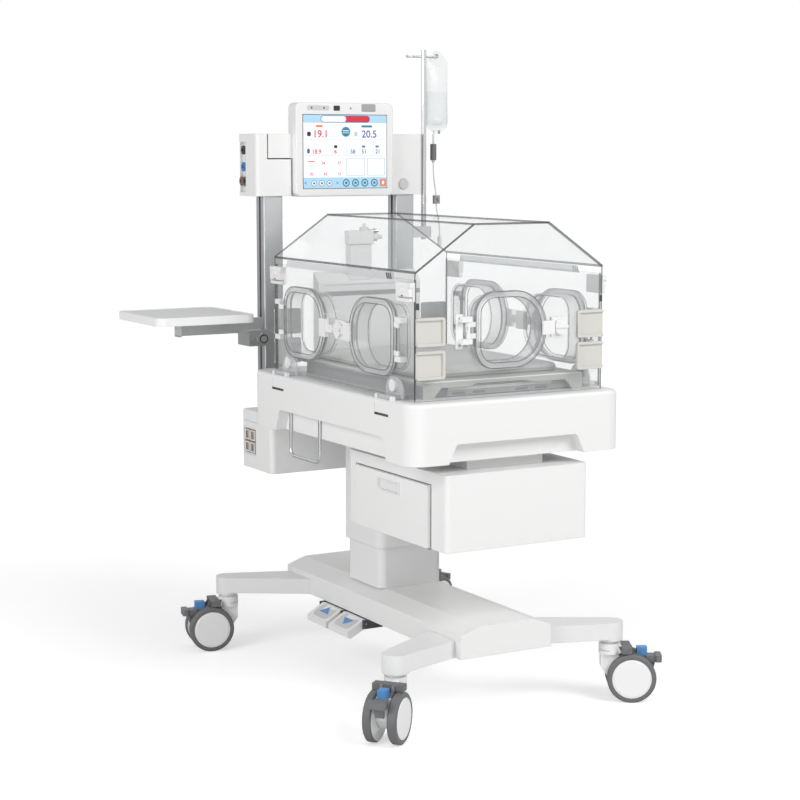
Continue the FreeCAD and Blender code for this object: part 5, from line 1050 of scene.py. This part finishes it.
def make_air_parts():
    """A grey seal on the air duct, and the sensor's round head with its clear tip and two nozzles."""
    shape = Shape(MID_GREY)
    shape.slab("y", DUCT_SEAL, DUCT_FRONT - 1.1, DUCT_FRONT, 0, 3, 0.3)
    shape.done("air_duct_seal", "bed")
    low, high = box_of("sensor_post")
    x = (low[0] + high[0]) / 2
    y = (low[1] + high[1]) / 2
    top = high[2]
    head = Shape(WARM_WHITE, FITTING_CLEAR, SHADE_GREY, CHROME)
    case = [(11, top - 14), (13.5, top - 12), (13.5, top + 6), (11, top + 9), (5, top + 10)]
    head.turned("z", x, y, case, 0)
    head.turned("z", x, y, [(5, top + 9), (5, top + 15), (3.5, top + 18), (1, top + 19)], 1, steps=20)
    head.turned("z", x, y, [(13.6, top - 6), (13.9, top - 5.6), (13.9, top - 3.4), (13.6, top - 3)], 2)
    nozzle = [(3.4, x + 11), (3.4, x + 30), (4.8, x + 31), (5.2, x + 33), (5.2, x + 38), (3, x + 40)]
    for aside in NOZZLES_ASIDE:
        head.turned("x", y + aside, top - 1, nozzle, 3, steps=20)
    head.done("sensor_head", "bed")


def washer(shape, rings, finish):
    """A ring-shaped form from outlines that lie square to X, each with its level."""
    shape.loft([[spot("x", *point, level) for point in outline] for outline, level in rings], finish,
               closed=True)


def make_port_collars():
    """Collars round the sensor ports at the crossbar's end."""
    shape = Shape(DARK, BLUE, DARK, BROWN)
    for number, (y, z) in enumerate(SENSOR_PORTS):
        washer(shape, [(ring_of(y, z, radius), CROSSBAR_END - out) for radius, out in COLLAR_PROFILE], number)
    shape.done("sensor_port_collars", "bed")


def make_socket_frame():
    """Rubber lips round the controller's sockets."""
    shape = Shape(BROWN)
    lip, (wide, tall), (rear, front) = SOCKET_LIP_HALF, SOCKET_HOLE, SOCKET_LIP_X
    for y in SOCKET_Y:
        for z in SOCKET_Z:
            outer = rounded(y - lip, z - lip, y + lip, z + lip, 1.5, 4)
            inner = rounded(y - wide, z - tall, y + wide, z + tall, 2, 4)
            washer(shape, [(outer, rear), (outer, front), (inner, front), (inner, rear)], 0)
    shape.done("controller_socket_lips", "bed")


def make_shelf_parts():
    """The end cap of the shelf's arm, and the raised face of its knob."""
    low, high = box_of("shelf_arm")
    shape = Shape(PALE_GREY)
    end = (low[1] + 3, SHELF_ARM_LEVELS[0], min(high[1], SHELF_ARM_REAR) - 3, SHELF_ARM_LEVELS[1])
    shape.slab("x", end, low[0] - 2.5, low[0] + 0.1, 0, 4, 0.8)
    shape.done("shelf_arm_cap", "shelf")
    low, high = box_of("shelf_knob")
    x = (low[0] + high[0]) / 2
    z = (low[2] + high[2]) / 2
    full = (high[0] - low[0]) / 2
    front = low[1]
    knob = Shape(DARK, CAST)
    knob.turned("y", x, z, [(full * 0.62, front - 1.4), (full * 0.7, front - 1), (full * 0.7, front)], 0)
    knob.turned("y", x, z, [(full * 0.4, front - 2.2), (full * 0.5, front - 1.8), (full * 0.5, front)], 1)
    knob.done("shelf_knob_face", "shelf_knob")


def make_drawer_parts():
    """Shadow lines in the gap round the drawer, and the screws at the corners of its front."""
    front = -CABINET_HALF
    for name, corners in DRAWER_GAPS:
        gap = Shape(SHADE_GREY)
        gap.slab("x", corners, front - 0.5, front + 0.2, 0, 0.5, 0.1)
        gap.done("drawer_gap_" + name, "bed")
    shape = Shape(PALE_GREY)
    screw = [(2, front - 1.4), (3.2, front - 1), (3.2, front + 0.4)]
    for y in DRAWER_SCREW_Y:
        for z in DRAWER_SCREW_Z:
            shape.turned("x", y, z, screw, 0, steps=16)
    shape.done("drawer_screws", "drawer")


# Infusion line: the route of the CAD tube and the line's radius, in millimetres
LINE_PLACES = [
    (322, 535, 1358), (322, 535, 1319), (331, 535, 1277),
    (331, 535, 1232), (344, 535, 1184), (344, 535, 1146),
]
LINE_RADIUS = 2


def make_line():
    """The infusion line as a soft cord between the drip chamber and its connector."""
    curve = bpy.data.curves.new("infusion_line_soft", "CURVE")
    curve.dimensions = "3D"
    curve.bevel_depth = LINE_RADIUS * MM
    curve.bevel_resolution = 4
    spline = curve.splines.new("NURBS")
    spline.points.add(len(LINE_PLACES) - 1)
    for point, stand in zip(spline.points, LINE_PLACES):
        point.co = (*place(*stand), 1)
    spline.order_u = 3
    spline.use_endpoint_u = True
    spline.resolution_u = 12
    line = add_object("infusion_line_soft", curve)
    curve.materials.append(TUBE)
    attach(line, "infusion")
    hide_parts("infusion_line")


# Studio: the floor's half size and the reach of its glow in metres, and the glow's strengths
FLOOR_HALF = 30
GLOW_NEAR = 0.8
GLOW_FAR = 3.5
GLOW_LOW = 0.46
GLOW_HIGH = 0.76
ROOM_LIGHT = 0.31


def make_floor():
    """A pale floor that fades to the backdrop's white away from the object."""
    mesh = bpy.data.meshes.new("floor")
    corners = [(x * FLOOR_HALF, y * FLOOR_HALF, 0) for x, y in ((-1, -1), (1, -1), (1, 1), (-1, 1))]
    mesh.from_pydata(corners, [], [(0, 1, 2, 3)])
    floor = add_object("floor", mesh)
    material, tree, shader = principled("floor_white", Base_Color=(0.8, 0.8, 0.8, 1), Roughness=0.9,
                                        Emission_Color=(1, 1, 1, 1))
    path = add(tree, "ShaderNodeLightPath")
    coordinates = add(tree, "ShaderNodeTexCoord")
    distance = add(tree, "ShaderNodeVectorMath")
    distance.operation = "LENGTH"
    glow = add(tree, "ShaderNodeMapRange", From_Min=GLOW_NEAR, From_Max=GLOW_FAR, To_Min=GLOW_LOW,
               To_Max=GLOW_HIGH)
    scale = add(tree, "ShaderNodeMath")
    scale.operation = "MULTIPLY"
    join(tree, coordinates, "Object", distance, 0)
    join(tree, distance, "Value", glow, "Value")
    join(tree, glow, "Result", scale, 1)
    join(tree, path, "Is Camera Ray", scale, 0)
    join(tree, scale, 0, shader, "Emission Strength")
    mesh.materials.append(material)


def make_world():
    """A white backdrop that lights the object more weakly than it is seen."""
    world = bpy.data.worlds.new("studio")
    bpy.context.scene.world = world
    world.use_nodes = True
    tree = world.node_tree
    background = tree.nodes["Background"]
    settle(background, {"Color": (1, 1, 1, 1)})
    path = add(tree, "ShaderNodeLightPath")
    seen = add(tree, "ShaderNodeMath")
    seen.operation = "MAXIMUM"
    strength = add(tree, "ShaderNodeMapRange", To_Min=ROOM_LIGHT, To_Max=1.0)
    join(tree, path, "Is Camera Ray", seen, 0)
    join(tree, path, "Is Glossy Ray", seen, 1)
    join(tree, seen, 0, strength, "Value")
    join(tree, strength, "Result", background, "Strength")


def area_light(name, stand, target, size, power):
    """A square light that looks at a target."""
    data = bpy.data.lights.new(name, "AREA")
    data.energy = power
    data.size = size
    light = add_object(name, data)
    light.location = place(*stand)
    light.rotation_mode = "QUATERNION"
    light.rotation_quaternion = (place(*target) - light.location).to_track_quat("-Z", "Y")


def make_lights():
    """A key light from the right, a fill from the left and a low one for the casters."""
    area_light("key", (1300, -3500, 3300), (0, 0, 700), 2.2, 116)
    area_light("fill", (-3900, -900, 2100), (0, 0, 650), 2.4, 82)
    area_light("low", (-1700, -3500, 380), (0, 0, 150), 1.6, 14)


make_camera()
make_line()
dress_nodes()
make_mattress()
make_bag()
make_screen()
make_display_details()
make_pedal_marks()
make_latch_caps()
make_corner_pads()
make_port_lines()
make_tray_front()
make_air_parts()
make_port_collars()
make_socket_frame()
make_shelf_parts()
make_drawer_parts()
make_floor()
make_world()
make_lights()
bpy.context.scene.view_settings.view_transform = "Standard"
